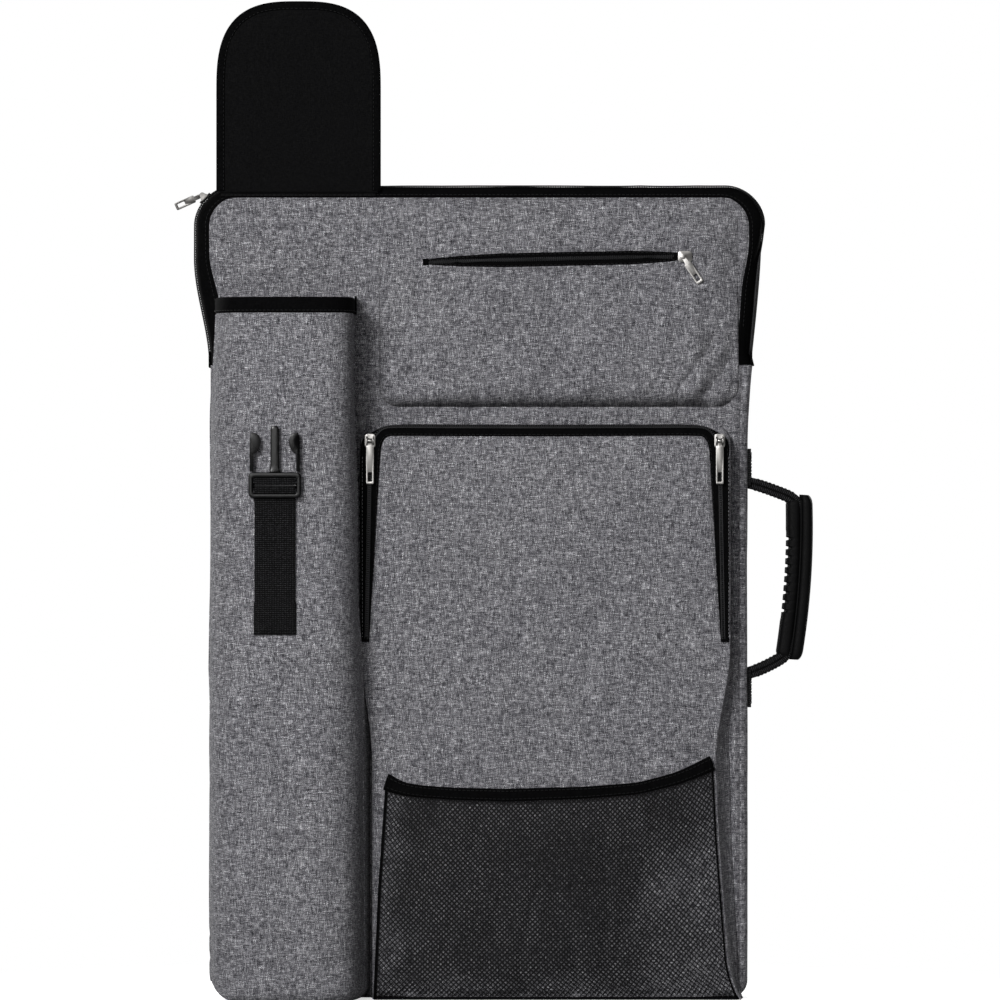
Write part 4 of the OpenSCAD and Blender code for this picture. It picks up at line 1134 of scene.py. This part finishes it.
def pocket_side(z, sgn):
    """The front pocket's outer edge, where its side wall meets its front."""
    z = np.asarray(z, float)
    if sgn < 0:
        x = lerp(-84.0, -93.0, ease((z - 185) / 94))
        return np.where(z > 439, -77 - np.sqrt(np.maximum(256 - (z - 439) ** 2, 0)), x)
    x = lerp(np.interp(z, NET_Z, NET_R) + 2.6, 198.0, ease((z - 185) / 94))
    return np.where(z > 439, 182 + np.sqrt(np.maximum(256 - (z - 439) ** 2, 0)), x)


def face_side(z, sgn):
    """The edge of the pocket's front: the full width below the zip, inside the zip's tapes above it."""
    z = np.asarray(z, float)
    k = ease((z - 277) / 12)
    if sgn < 0:
        up = np.interp(z, [280, 331, 366, 405, 434], [-87.9, -84.6, -81.8, -79.4, -78.0])
        up = np.where(z > 434, -66.2 - np.sqrt(np.maximum(12 ** 2 - (z - 434) ** 2, 0)), up)
    else:
        up = np.interp(z, [280, 331, 366, 405, 434], [191.7, 188.5, 185.7, 183.3, 181.9])
        up = np.where(z > 434, 170 + np.sqrt(np.maximum(12 ** 2 - (z - 434) ** 2, 0)), up)
    return lerp(pocket_side(z, sgn), up, k)


def pocket_y(P):
    x, z = P[..., 0], P[..., 2]
    xl, xr = face_side(z, -1), face_side(z, 1)
    d = np.minimum(np.minimum(x - xl, xr - x), 446.5 - z)
    y = -41.0 - 1.9 * ease(d / 34)
    y -= 1.7 * noise_field(P, (95, 60, 120), 61, 2) * ease(d / 30) * ease(z / 30)
    y += 1.5 * folds(P, (0.3, 0, 1), 44, 170, 62, 2.5) * ease(d / 14) * bump(z, 170, 240, 330, 430)
    y += 1.0 * (1 - ease(d / 2.6)) * ease((z - 284) / 6)
    y += 5.0 * (1 - ease(z / 7.0))
    return y


th = np.linspace(0, math.pi / 2, 9)
zs = np.concatenate([[0.2, 1.0, 2.4, 4.4, 7.0], np.linspace(9, 262, 92), np.linspace(264, 292, 18),
                     np.linspace(294, 434, 54), 434 + 12.4 * np.sin(th)[1:]])
u = spaced(0, 1, 150, 0.55)
P = np.zeros((len(zs), len(u), 3))
xl, xr = face_side(zs, -1), face_side(zs, 1)
P[..., 0] = xl[:, None] + (xr - xl)[:, None] * u
P[..., 2] = zs[:, None]
P[..., 1] = pocket_y(P)
ob = grid("front_pocket_face", P, P[..., [0, 2]])
thicken(ob, 1.3)
piece(ob, GREY, "case", "front_pocket_panel")

# side walls, from the case out to the pocket's front, fading out under the top corners
parts = []
for sgn in (-1, 1):
    zw = np.concatenate([[0.2, 2, 5], np.linspace(9, 432, 120), np.linspace(434, 452, 12)])
    wall = np.linspace(0, 1, 12)
    xe = pocket_side(zw, sgn)
    yf = lerp(-40.9, -22.0, ease((zw - 428) / 24)) + 3.5 * (1 - ease(zw / 7))
    P = np.zeros((len(zw), 12, 3))
    hollow = 0.8 + noise_field(np.stack([0 * zw, 0 * zw, zw], 1), 40, 63 + sgn, 2)
    P[..., 0] = xe[:, None] - sgn * 0.9 * np.sin(math.pi * wall) * hollow[:, None]
    lean = np.interp(zw, [0, 30, 185, 285], [0.5, 7.0, 11.5, 0.0]) if sgn > 0 else 0 * zw
    P[..., 0] += sgn * (1.2 * (1 - ease(wall / 0.25)) + lean[:, None] * (1 - wall))
    P[..., 1] = -19.8 + (yf + 19.8)[:, None] * wall
    P[..., 2] = zw[:, None]
    UV = one_more(P[..., [1, 2]])
    parts.append(grid_arrays(P, UV) if sgn < 0 else grid_arrays(P[:, ::-1], UV[:, ::-1]))
ob = joined("front_pocket_walls", parts)
thicken(ob, 1.2)
piece(ob, GREY, "case", "front_pocket_gusset")
# the cloth between the wall's seam and the zip tapes' lower ends
for sgn, name in ((-1, "front_zip_end_left"), (1, "front_zip_end_right")):
    cx = -89.7 if sgn < 0 else 193.6
    piece(swept(name, [(cx + d, -42.4 + abs(d) * 0.1, 283.6) for d in (-3.2, -1.6, 0, 1.6, 3.2)],
                             (0, 0, 1), strap_section(4.0, 1.3)), BINDING, "case")


def zip_line(off, front):
    """The front zip's path round the pocket, off mm outside the teeth. front: the half sewn to the pocket's face."""
    legs = [(-off, -41.6, 284), (-off, -41.6, 330), (-off, -41.6, 380)]
    if front:
        side = legs + [(-off, -41.6, 428), (1.0 - off, -41.7, 439), (7 - off * 0.8, -41.7, 448.6 + off * 0.5),
                       (17, -41.6, 452.0 + off)]
        top = [(-30, -41.4, 451.6 + off), (50, -41.2, 451.4 + off), (130, -41.4, 451.8 + off)]
    else:
        side = legs + [(-off, -41.3, 427), (0.6 - off, -38.6, 438), (4 - off, -32, 444.4),
                       (12 - off * 0.4, -24.5, 447.4 + off * 0.6), (24, -21.6, 447.3 + off)]
        top = [(-20, -21.4, 447.0 + off), (50, -21.4, 446.9 + off), (130, -21.4, 447.0 + off)]
    pts = [(ZIP_LEFT + x, y, z) for x, y, z in side] + top + [(ZIP_RIGHT - x, y, z) for x, y, z in side[::-1]]
    p = resample(rounded_path(pts, 3), step=1.5)
    p[:, 0] += np.sign(p[:, 0] - 52) * 2.9 * np.clip((ZIP_TOP - p[:, 2]) / ZIP_LEG, 0, 1)
    return p


def outward(path):
    T = tangents(path)
    return unit(np.stack([-T[:, 2], 0 * T[:, 0], T[:, 0]], 1))


parts, coil, rows, cord = [], [], [], []
for front in (True, False):
    sgn = -1 if front else 1
    p = zip_line(sgn * 4.6, front)
    A = outward(p)
    low = np.clip((ZIP_TOP - p[:, 2]) / ZIP_LEG, 0, 1) * (0.86 if front else 0.52)
    low = np.maximum(low, 0 if front else 0.28 * ease((p[:, 2] - 440) / 6))
    S = np.stack([strap_section(6.6, 1.0, 0.3) * [1 - k, 1] + [sgn * -3.3 * k, 0] for k in low])
    parts.append(section_sweep(p, A, S))
    free = p - A * sgn * 3.0 + np.array([0, -0.75, 0])
    coil.append(teeth(free, -sgn * A, (0, -1, 0), 1.7, 2.5, 1.05, 1.35, 0.0 if front else 0.85))
    cord.append(section_sweep(free - sgn * A * 0.4 + np.array([0, -0.35, 0]), A, ellipse(0.42, 0.42), caps=False))
    rows.append(stitches((p + A * sgn * (1.9 - 3.6 * low)[:, None] + np.array([0, -0.62, 0]))[30:-30], (0, -1, 0)))
piece(mesh_object("front_zip_tape_face", *parts[0]), TAPE, "case", "front_zip_tape_inner")
piece(mesh_object("front_zip_tape_case", *parts[1]), TAPE, "case", "front_zip_tape_outer")
piece(joined("front_zip_teeth", coil + cord), NYLON, "case", "front_zip_coils")
sewn("front_zip_tape_stitching", rows)

# pale stitches along the outside of the tapes, and grey ones round the pocket's front
pale = []
for sgn in (-1, 1):
    zw = np.linspace(284, 428, 70)
    p = np.stack([pocket_side(zw, sgn) - sgn * 1.2, np.full(70, -42.15), zw], 1)
    pale.append(stitches(p, (0, -1, 0), 3.0, 2.0, 0.2, 0.12))
sewn("front_zip_pale_stitching", pale, material=PALE_THREAD)
zw = np.linspace(290, ZIP_TOP, 100)
edge_rows = [np.stack([face_side(zw, sgn) - sgn * 2.4, 0 * zw, zw], 1) for sgn in (-1, 1)]
xt = np.linspace(-64, 168, 160)
edge_rows.append(np.stack([xt, 0 * xt, np.full(160, 443.9)], 1))
rows = []
for r in edge_rows:
    r[:, 1] = pocket_y(r) - 0.1
    rows.append(stitches(r, (0, -1, 0)))
sewn("front_pocket_stitching", rows, material=GREY_THREAD)

# ---------------------------------------------------------------- net pocket

RIM_X = [-73.0, -66, -61, -45, -19, 22, 84, 126, 156, 170, 183.5]
RIM_LO = [164.5, 162.4, 160.8, 158.8, 157.2, 155.8, 158.2, 161.7, 169.2, 174.2, 180.0]
RIM_HI = [178.5, 174.4, 171.4, 169.0, 167.2, 166.4, 168.1, 171.4, 179.3, 185.5, 192.5]


def smooth_rim(x, table):
    k = np.linspace(RIM_X[0], RIM_X[-1], 200)
    v = np.interp(k, RIM_X, table)
    for _ in range(3):
        v[3:-3] = (v[:-6] + v[1:-5] + v[2:-4] + v[3:-3] + v[4:-2] + v[5:-1] + v[6:]) / 7
    return np.interp(x, k, v)


def net_point(u, v):
    """u from the left side to the right, v from the bottom to the rim, both 0 to 1."""
    xt = lerp(RIM_X[0], RIM_X[-1], u)
    zt = smooth_rim(xt, RIM_LO) + 2.5
    z = zt * v
    xl = np.interp(z, [0, 88, 170], [-82.0, -78.2, -72.5])
    xr = np.interp(z, NET_Z, NET_R)
    x = xl + (xr - xl) * u
    swell = np.sin(math.pi * np.clip(u, 0, 1)) ** 0.45
    P = np.stack([x, 0 * x, z], -1)
    y = -43.2 - 6.0 * swell * ease((z + 10) / 40) * (1 - 0.15 * ease((z - 120) / 60))
    y -= 1.2 * noise_field(P, (60, 60, 50), 71, 2) * swell
    y += 1.4 * folds(P, (0.2, 0, 1), 40, 160, 73, 2) * swell
    P[..., 1] = lerp(np.maximum(y, -60), -37.8, (1 - ease(z / 9)))
    return P


NC, NR = 68, 40
verts, index, quads = [], {}, []
for i in range(-1, 2 * NC + 2):
    for j in range(-1, 2 * NR + 2):
        if (i + j) % 2 == 0:
            index[i, j] = len(verts)
            verts.append((min(max(i / (2 * NC), 0), 1), min(max(j / (2 * NR), 0), 1)))
for i in range(-1, 2 * NC + 1):
    for j in range(0, 2 * NR + 1):
        if (i + j) % 2 == 0 and (i + 1, j - 1) in index and (i + 2, j) in index and (i + 1, j + 1) in index:
            if 0 <= i + 1 <= 2 * NC and 0 <= j <= 2 * NR:
                quads.append((index[i, j], index[i + 1, j - 1], index[i + 2, j], index[i + 1, j + 1]))
uv = np.array(verts)
net = net_point(uv[:, 0], uv[:, 1])
net_ob = mesh_object("mesh_pocket_net", net, quads)
w = net_ob.modifiers.new("strands", "WIREFRAME")
w.thickness = 1.85 * MM
near = net_ob.vertex_groups.new(name="dense")
open_part = ease((net[:, 0] - 114 + 34 * noise_field(net, (50, 50, 50), 77, 2) - 0.25 * (net[:, 2] - 80)) / 62)
open_part = np.maximum(open_part, 0.8 * ease((-44 - net[:, 0] + 22 * noise_field(net, (40, 40, 40), 78, 2)) / 30))
open_part = np.maximum(open_part, 0.7 * ease((26 + 12 * noise_field(net, (40, 40, 40), 79, 2) - net[:, 2]) / 20))
for i, k in enumerate(open_part):
    near.add([i], float(1 - k), "REPLACE")
w.vertex_group = "dense"
w.thickness_vertex_group = 0.58
w.use_boundary = True
w.use_even_offset = False
w.use_relative_offset = False
w.offset = 0
piece(net_ob, NET, "case", "mesh_pocket")

xm = np.linspace(RIM_X[0], RIM_X[-1], 170)
zlo, zhi = smooth_rim(xm, RIM_LO), smooth_rim(xm, RIM_HI)
um = (xm - RIM_X[0]) / (RIM_X[-1] - RIM_X[0])
line = net_point(um, np.ones_like(um))
line[:, 0] = xm
line[:, 2] = (zlo + zhi) / 2
line[:, 1] -= 0.7
gather = 0.35 * noise_field(line, (5, 5, 20), 75, 1)
base = strap_section(1.0, 2.6, 0.3)
S = np.stack([base * [h - 0.9 + 0.6, 1] for h in (zhi - zlo)])
rim = piece(swept("mesh_pocket_rim", line + np.stack([0 * gather, gather, 0 * gather], 1), (0, 0, 1), S),
            BINDING, "case", "mesh_pocket_binding")
rows = [stitches(line + np.stack([0 * xm, np.full(170, -1.35), k * (zhi - zlo) * 0.3], 1), (0, -1, 0)) for k in (-1, 1)]
sew = sewn("mesh_pocket_rim_stitching", rows)
# seams that hold the net at both sides
parts = []
for k in (0.0, 1.0):
    p = net_point(np.full(60, k), np.linspace(0, 1.0, 60))
    p[:, 1] -= 0.3
    parts.append(section_sweep(p, (1, 0, 0), strap_section(1.3 if k else 2.4, 1.3)))
p = net_point(np.linspace(0, 1, 120), np.full(120, 0.004))
parts.append(section_sweep(p + [0, -0.2, 0.9], (0, 0, 1), strap_section(2.2, 1.6)))
piece(joined("mesh_pocket_side_seams", parts), BINDING, "case")

# ---------------------------------------------------------------- carrying handle

FOOT, HEAD = np.array([246.5, 0, 271.0]), np.array([254.5, 0, 394.0])
GN = np.array([HEAD[2] - FOOT[2], 0, FOOT[0] - HEAD[0]])
GN = GN / np.linalg.norm(GN)


def grip_point(u, off):
    u = np.asarray(u, float)[..., None]
    return FOOT + (HEAD - FOOT) * u + (np.asarray(off, float)[..., None] + 11 * u * (1 - u)) * GN


def grip_half(name, us, a, outer, half):
    """A loft along the grip between off = a and off = outer(u), with a rounded section half(u) wide each way in Y."""
    n = 28
    t = np.linspace(0, 2 * math.pi, n, endpoint=False) + math.pi / n
    V = []
    for uu in us:
        o, h = outer(uu), half(uu)
        c, r = (a + o) / 2, abs(o - a) / 2
        q = grip_point(np.full(n, uu), c + r * squared(np.cos(t), 3.2))
        q[:, 1] = h * squared(np.sin(t), 3.2)
        V.append(q)
    P = np.array(V)
    return loft(name, P[:, ::-1] if outer(0.5) > a else P, True)


def end_round(u, a, b, r):
    """0 at both ends and 1 in between, rounded over r."""
    t = np.clip(np.minimum(u - a, b - u) / r, 0, 1)
    return math.sqrt(max(1 - (1 - t) ** 2, 0))


def grip_back(u_):
    """How far out the back of the grip stands: slightly bowed, and rounded off at both ends."""
    bow = 9.0 + 0.3 * math.sin(math.pi * min(max(u_, 0), 1))
    return 0.6 + bow * (0.55 + 0.45 * end_round(u_, -0.032, 1.032, 0.06))


us = np.concatenate([-0.03 + 0.03 * (1 - np.cos(np.linspace(0, math.pi / 2, 7))), np.linspace(0.005, 0.995, 56),
                     1.0 + 0.03 * np.sin(np.linspace(0, math.pi / 2, 7))])
ob = grip_half("grip_outer", us, -0.6, grip_back, lambda u_: 14.0 * (0.84 + 0.16 * end_round(u_, -0.032, 1.032, 0.07)))
piece(ob, RUBBER, "handle", "handle_grip_outer")


def ribbed(u_):
    """Nine square notches between plain ends."""
    k = (u_ - 0.25) / 0.52 * 9
    notch = 0.0
    if 0 <= k <= 9:
        f = k % 1.0
        notch = float(bump(np.array(f), 0.30, 0.40, 0.60, 0.70))
    ends = float(ease(np.array((0.235 - u_) / 0.02)) + ease(np.array((u_ - 0.785) / 0.02)))
    return -(11.4 - 2.0 * notch + 0.3 * ends) * (0.6 + 0.4 * end_round(u_, -0.012, 0.992, 0.035))


us = np.concatenate([np.linspace(-0.01, 0.02, 8), np.linspace(0.03, 0.225, 16), np.linspace(0.232, 0.792, 300),
                     np.linspace(0.8, 0.95, 14),
                     np.linspace(0.96, 0.99, 8)])
ob = grip_half("grip_inner", us, 1.0, ribbed, lambda u_: 12.0 * (0.88 + 0.12 * end_round(u_, -0.012, 0.992, 0.03)))
piece(ob, RUBBER, "handle", "handle_grip_inner")
for k, y in enumerate((-12.9, 12.9)):
    p = grip_point(np.linspace(0.0, 1.0, 60), np.full(60, 0.15))
    p[:, 1] = y
    piece(swept("grip_seam_%d" % (k + 1), p, (0, 1, 0), ellipse(0.5, 0.8)), RUBBER, "handle")

legs, layers = [], []
up = [(213.4, 0, 407.0), (219, 0, 405.8), (228, 0, 402.9), (238, 0, 399.2), (247, 0, 395.6),
      tuple(grip_point(0.965, -1.4)), tuple(grip_point(0.90, -1.0))]
down = [(213.4, 0, 256.4), (219, 0, 258.0), (226, 0, 261.0), (234, 0, 265.0), (241, 0, 269.2),
        tuple(grip_point(0.035, -1.4)), tuple(grip_point(0.10, -1.0))]
for pts, flip in ((up, 1), (down, -1)):
    path = resample(rounded_path(pts, 3), step=1.3)
    T = tangents(path)
    N = np.cross(T, [0, 1, 0])
    for off in (-2.3, 2.3):
        legs.append(section_sweep(path + N * off, (0, 1, 0), strap_section(22, 4.5, 1.3)))
    for y in (-9.6, 9.6):
        for s in (-1, 1):
            layers.append(stitches(path[4:-12] + (N * s * 4.5)[4:-12] + [0, y, 0], s * N[4:-12], 3.0, 2.2, 0.26))
core = resample(grip_point(np.linspace(0.02, 0.98, 30), np.zeros(30)), step=2)
legs.append(section_sweep(core, (0, 1, 0), strap_section(20, 2.9)))
ob = piece(joined("handle_web", legs), WEB, None, "handle_webbing")
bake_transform(ob)
ob = piece(joined("handle_stitching", layers), BLACK_THREAD, None)
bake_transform(ob)
parts, rows = [], []
for z0, z1 in ((404.5, 434.0), (229.5, 259.0)):
    p = np.array([(213.9, 0, z) for z in np.linspace(z0, z1, 14)])
    parts.append(section_sweep(p, (0, 1, 0), strap_section(26, 2.6, 1.1)))
    for r, s in box_lines(0, (z0 + z1) / 2, 21, z1 - z0 - 6):
        rows.append(stitches(np.array([(215.3, r[0], r[1]), (215.3, s[0], s[1])]), (1, 0, 0), 2.6, 2.0, 0.26))
piece(joined("handle_patches", parts), WEB, "case", "handle_anchors")
sewn("handle_patch_stitching", rows)

# ---------------------------------------------------------------- shoulder straps on the back


def bezier(p, n):
    p = np.array(p, float)
    t = np.linspace(0, 1, n)[:, None]
    return (1 - t) ** 3 * p[0] + 3 * (1 - t) ** 2 * t * p[1] + 3 * (1 - t) * t * t * p[2] + t ** 3 * p[3]


piece(swept("strap_top_web", [(x, 21.3, 616) for x in np.linspace(-88, 88, 50)], (0, 0, 1),
            strap_section(22, 2.2, 0.9)), WEB, "case", "strap_top_anchor")
rows = box_stitch(-52, 616, 44, 16, 22.5, 1) + box_stitch(52, 616, 44, 16, 22.5, 1)
sewn("strap_top_stitching", rows)
for side, sgn in (("left", -1), ("right", 1)):
    body = "strap_" + side
    c = bezier([(52, 612.5), (36, 480), (128, 410), (118, 250)], 90)
    uu = np.linspace(0, 1, 90)
    T2 = tangents(c)
    N2 = np.stack([-T2[:, 1], T2[:, 0]], 1)
    half = (24 + 6 * np.sin(math.pi * ease(uu))) * (0.75 + 0.25 * ease(np.minimum(uu, 1 - uu) * 14))
    thick = 11 * (0.5 + 0.5 * ease(np.minimum(uu, 1 - uu) * 8)) * (0.45 + 0.55 * ease(uu * 11))
    mid_y = 26.5 - 2.4 * (1 - ease(uu * 11))
    n = 44
    t = np.linspace(0, 2 * math.pi, n, endpoint=False) + math.pi / n
    sx = squared(np.cos(t), 2.6)
    sy = squared(np.sin(t), 2.9)
    P = np.zeros((90, n, 3))
    P[..., 0] = sgn * (c[:, None, 0] + N2[:, None, 0] * half[:, None] * sx)
    P[..., 2] = c[:, None, 1] + N2[:, None, 1] * half[:, None] * sx
    P[..., 1] = mid_y[:, None] + thick[:, None] / 2 * sy
    bulge = noise_field(P, (34, 34, 34), 91 + sgn, 2) * 0.7
    P[..., 1] += bulge * sy
    if sgn > 0:
        P = P[:, ::-1]
    ob = loft("strap_pad_" + side, P)
    pad_z = P[..., 2].ravel()
    relax(ob, np.where((pad_z > 598) | (np.abs(pad_z - 250) < 6), 1.0, 0.0), grow=0.01, pressure=0.8, frames=10,
          cap=2.0)
    piece(ob, PADDING, None, "shoulder_strap_" + side)
    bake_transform(ob)
    parts, rows = [], []
    for e in (-1, 1):
        edge = np.stack([sgn * (c[:, 0] + N2[:, 0] * half * e), mid_y, c[:, 1] + N2[:, 1] * half * e], 1)
        ring = np.array(ellipse(2.6, 1.5, 12))
        parts.append(section_sweep(edge[1:-1], (0, 1, 0),
                                   ring * np.stack([thick[1:-1] / 11, np.ones(88)], 1)[:, None, :]))
        inn = np.stack([sgn * (c[:, 0] + N2[:, 0] * (half - 5) * e), mid_y + 0.1 + thick / 2 * 0.86 + 0.3,
                        c[:, 1] + N2[:, 1] * (half - 5) * e], 1)
        rows.append(stitches(inn[4:-4], (0, 1, 0)))
    for o, m in ((joined("strap_edging_" + side, parts), BINDING),
                 (joined("strap_edge_stitching_" + side, rows), BLACK_THREAD)):
        piece(o, m, None, slot="black_fabric")
        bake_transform(o)
    sewn("strap_end_stitching_" + side, box_stitch(sgn * 51.6, 609.5, 36, 5.5, 25.6, 1, False))
    X = sgn * 119
    pts = [(X, 27.5, 268), (X, 26.8, 258), (X, 25.4, 250), (X, 24.4, 246), (X, 22.5, 243.6), (X, 21.4, 246.2),
           (X, 21.6, 252), (X, 22.6, 262)]
    piece(webbing("strap_loop_web_" + side, rounded_path(pts, 2), 25, 1.3, 1.2), WEB, body, "strap_loop_" + side)
    pts = [(X, 23.2, 224.5), (X, 27.4, 229), (X, 27.8, 236.5), (X, 25.2, 236.0), (X, 23.0, 232.0), (X, 22.6, 226),
           (sgn * 121, 22.9, 220), (sgn * 126, 23.0, 204),
           (sgn * 137, 23.0, 172), (sgn * 160, 23.0, 108), (sgn * 180, 22.6, 60), (sgn * 187, 22.0, 45)]
    path = resample(rounded_path(pts, 2), step=1.6)
    flat = unit(np.stack([np.full(len(path), 1.0), 0 * path[:, 0], np.full(len(path), sgn * 0.30)], 1))
    k = ease((236 - path[:, 2]) / 40)[:, None]
    ob = piece(swept("strap_web_" + side, path, lerp(np.array([[1.0, 0, 0]]), flat, k), strap_section(25, 1.4)), WEB,
               None, "strap_webbing_" + side)
    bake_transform(ob)
    tail = [(X, 24.9, 236.8), (X, 25.4, 231), (X, 26.6, 224), (X, 27.8, 200), (X + sgn * 1, 28.4, 178),
            (X + sgn * 2, 27.9, 160)]
    piece(webbing("strap_tail_" + side, rounded_path(tail, 2), 24.6, 1.3, 1.6), WEB, body)

tri, rows = [], []
for sgn in (-1, 1):
    p = [(156, 60), (204, 18), (204, 72)]
    edges = [(p[a], p[b]) for a, b in ((0, 1), (1, 2), (2, 0))]
    c = (sum(x for x, z in p) / 3, sum(z for x, z in p) / 3)
    ring = [q for a, b in edges for q in (a, ((a[0] + b[0]) / 2, (a[1] + b[1]) / 2))]
    verts = [(sgn * c[0], 22.4, c[1])] + [(sgn * x, y, z) for y in (22.2, 20.1) for x, z in ring]
    verts.append((sgn * c[0], 20.1, c[1]))
    q = []
    for k in range(0, 6, 2):
        middle, after = (k + 1) % 6, (k + 2) % 6
        for f in ([0, 1 + k, 1 + middle, 1 + after], [13, 7 + after, 7 + middle, 7 + k]):
            q.append(f if sgn > 0 else f[:1] + f[:0:-1])
    for k in range(6):
        f = [1 + k, 7 + k, 7 + (k + 1) % 6, 1 + (k + 1) % 6]
        q.append(f if sgn > 0 else f[::-1])
    tri.append((np.array(verts), np.array(q), None))
    inn = [(c[0] + (x - c[0]) * 0.8, c[1] + (z - c[1]) * 0.8) for x, z in p]
    for a, b in ((0, 1), (1, 2), (2, 0)):
        rows.append(stitches(np.array([(sgn * inn[a][0], 22.45, inn[a][1]), (sgn * inn[b][0], 22.45, inn[b][1])]),
                             (0, 1, 0), 2.8, 2.1, 0.25))
ob = joined("strap_foot_patches", tri)
m = ob.modifiers.new("bevel", "BEVEL")
m.width, m.segments = 0.6 * MM, 2
piece(ob, GREY, "case", "strap_bottom_anchors")
sewn("strap_foot_stitching", rows, material=GREY_THREAD)

# ---------------------------------------------------------------- seams and stitching of the case

rows = []
for y, n_ in ((-19.9, -1), (19.9, 1)):
    idx = np.concatenate([np.arange(ZIP_B + 3, N_OUT), np.arange(0, ZIP_A - 2)])
    p = edge_points(1.0, -1.8, y * 0.985, idx)
    rows.append(stitches(p, out_normal(idx) * 0.4 + [0, n_, 0], 3.6, 2.6, 0.24))
    p = edge_points(1.0, 2.6, y + n_ * 0.15, np.arange(ZIP_A + 4, ZIP_B - 4) % N_OUT)
    rows.append(stitches(p, (0, n_, 0), 3.4, 2.4, 0.24))
sewn("case_stitching", rows, material=GREY_THREAD)

# ---------------------------------------------------------------- floor, light, camera

FLOOR_Z, FLOOR_HALF = -0.0005, 6
FLOOR_NEAR, FLOOR_FAR = 0.26, 0.55    # the floor is lit cloth white to the first radius, and plain white past the second
BACKDROP, AMBIENT = 1.0, 0.12         # strength of the white that the camera sees, and of what lights the object


def node(tree, kind, **values):
    """A new node with those input values; underscores stand for spaces."""
    n = tree.nodes.new("ShaderNode" + kind)
    for key, value in values.items():
        n.inputs[key.replace("_", " ")].default_value = value
    return n


corners = [(x * FLOOR_HALF, y * FLOOR_HALF, FLOOR_Z) for x, y in ((-1, -1), (1, -1), (1, 1), (-1, 1))]
me = bpy.data.meshes.new("floor")
me.from_pydata(corners, [], [(0, 1, 2, 3)])
floor = bpy.data.objects.new("floor", me)
scene.collection.objects.link(floor)
fm = bpy.data.materials.new("studio_white")
fm.use_nodes = True
ft = fm.node_tree
near = ft.nodes["Principled BSDF"]
for key, value in (("Base Color", (0.92, 0.92, 0.92, 1)), ("Roughness", 0.9), ("Specular IOR Level", 0.0),
                   ("Emission Color", (1, 1, 1, 1)), ("Emission Strength", 0.6)):
    near.inputs[key].default_value = value
length = node(ft, "VectorMath")
length.operation = "LENGTH"
radius = node(ft, "MapRange", From_Min=FLOOR_NEAR, From_Max=FLOOR_FAR)
radius.interpolation_type = "SMOOTHSTEP"
white, seen = node(ft, "MixShader"), node(ft, "MixShader")
for a, b in ((node(ft, "TexCoord").outputs["Object"], length.inputs[0]),
             (length.outputs["Value"], radius.inputs["Value"]),
             (radius.outputs["Result"], white.inputs[0]),
             (near.outputs[0], white.inputs[1]),
             (node(ft, "Emission", Strength=1.0).outputs[0], white.inputs[2]),
             # the object itself sees a duller floor, so that no light bounces up under it
             (node(ft, "LightPath").outputs["Is Camera Ray"], seen.inputs[0]),
             (node(ft, "BsdfDiffuse", Color=(0.35, 0.35, 0.35, 1)).outputs[0], seen.inputs[1]),
             (white.outputs[0], seen.inputs[2]),
             (seen.outputs[0], ft.nodes["Material Output"].inputs["Surface"])):
    ft.links.new(a, b)
me.materials.append(fm)

world = bpy.data.worlds.new("studio")
scene.world = world
world.use_nodes = True
wt = world.node_tree
wt.nodes["Background"].inputs["Color"].default_value = (1, 1, 1, 1)
strength = node(wt, "Mix")
strength.data_type = "FLOAT"
strength.inputs[2].default_value = AMBIENT
strength.inputs[3].default_value = BACKDROP
wt.links.new(node(wt, "LightPath").outputs["Is Camera Ray"], strength.inputs[0])
wt.links.new(strength.outputs[0], wt.nodes["Background"].inputs["Strength"])


def lamp(name, at, look, power, size):
    """A square lamp of that size in metres and power in watts, turned towards look."""
    d = bpy.data.lights.new(name, "AREA")
    d.energy = power
    d.shape = "RECTANGLE"
    d.size = d.size_y = size
    o = bpy.data.objects.new(name, d)
    o.location = at
    o.rotation_euler = (Vector(look) - Vector(at)).to_track_quat("-Z", "Y").to_euler()
    scene.collection.objects.link(o)


lamp("key", (-1.15, -3.1, 1.55), (0, 0, 0.35), 107, 0.8)
lamp("fill", (-0.5, -3.6, 0.9), (0.05, 0, 0.35), 28, 1.2)
lamp("back_left", (-2.2, 1.9, 1.4), (0, 0, 0.35), 58, 1.2)
lamp("back_right", (1.8, 2.4, 1.5), (0, 0, 0.35), 58, 1.2)

LENS, CAMERA_AT = 319, (0.0166, -7.02, 0.3934)    # a long lens from 7 m away, level with the case's middle

cam = bpy.data.cameras.new("camera")
cam.sensor_width = 36
cam.lens = LENS
cam.clip_end = 50
co = bpy.data.objects.new("camera", cam)
co.location = CAMERA_AT
co.rotation_euler = (math.pi / 2, 0, 0)
scene.collection.objects.link(co)
scene.camera = co
scene.view_settings.view_transform = "Standard"
scene.view_settings.look = "None"
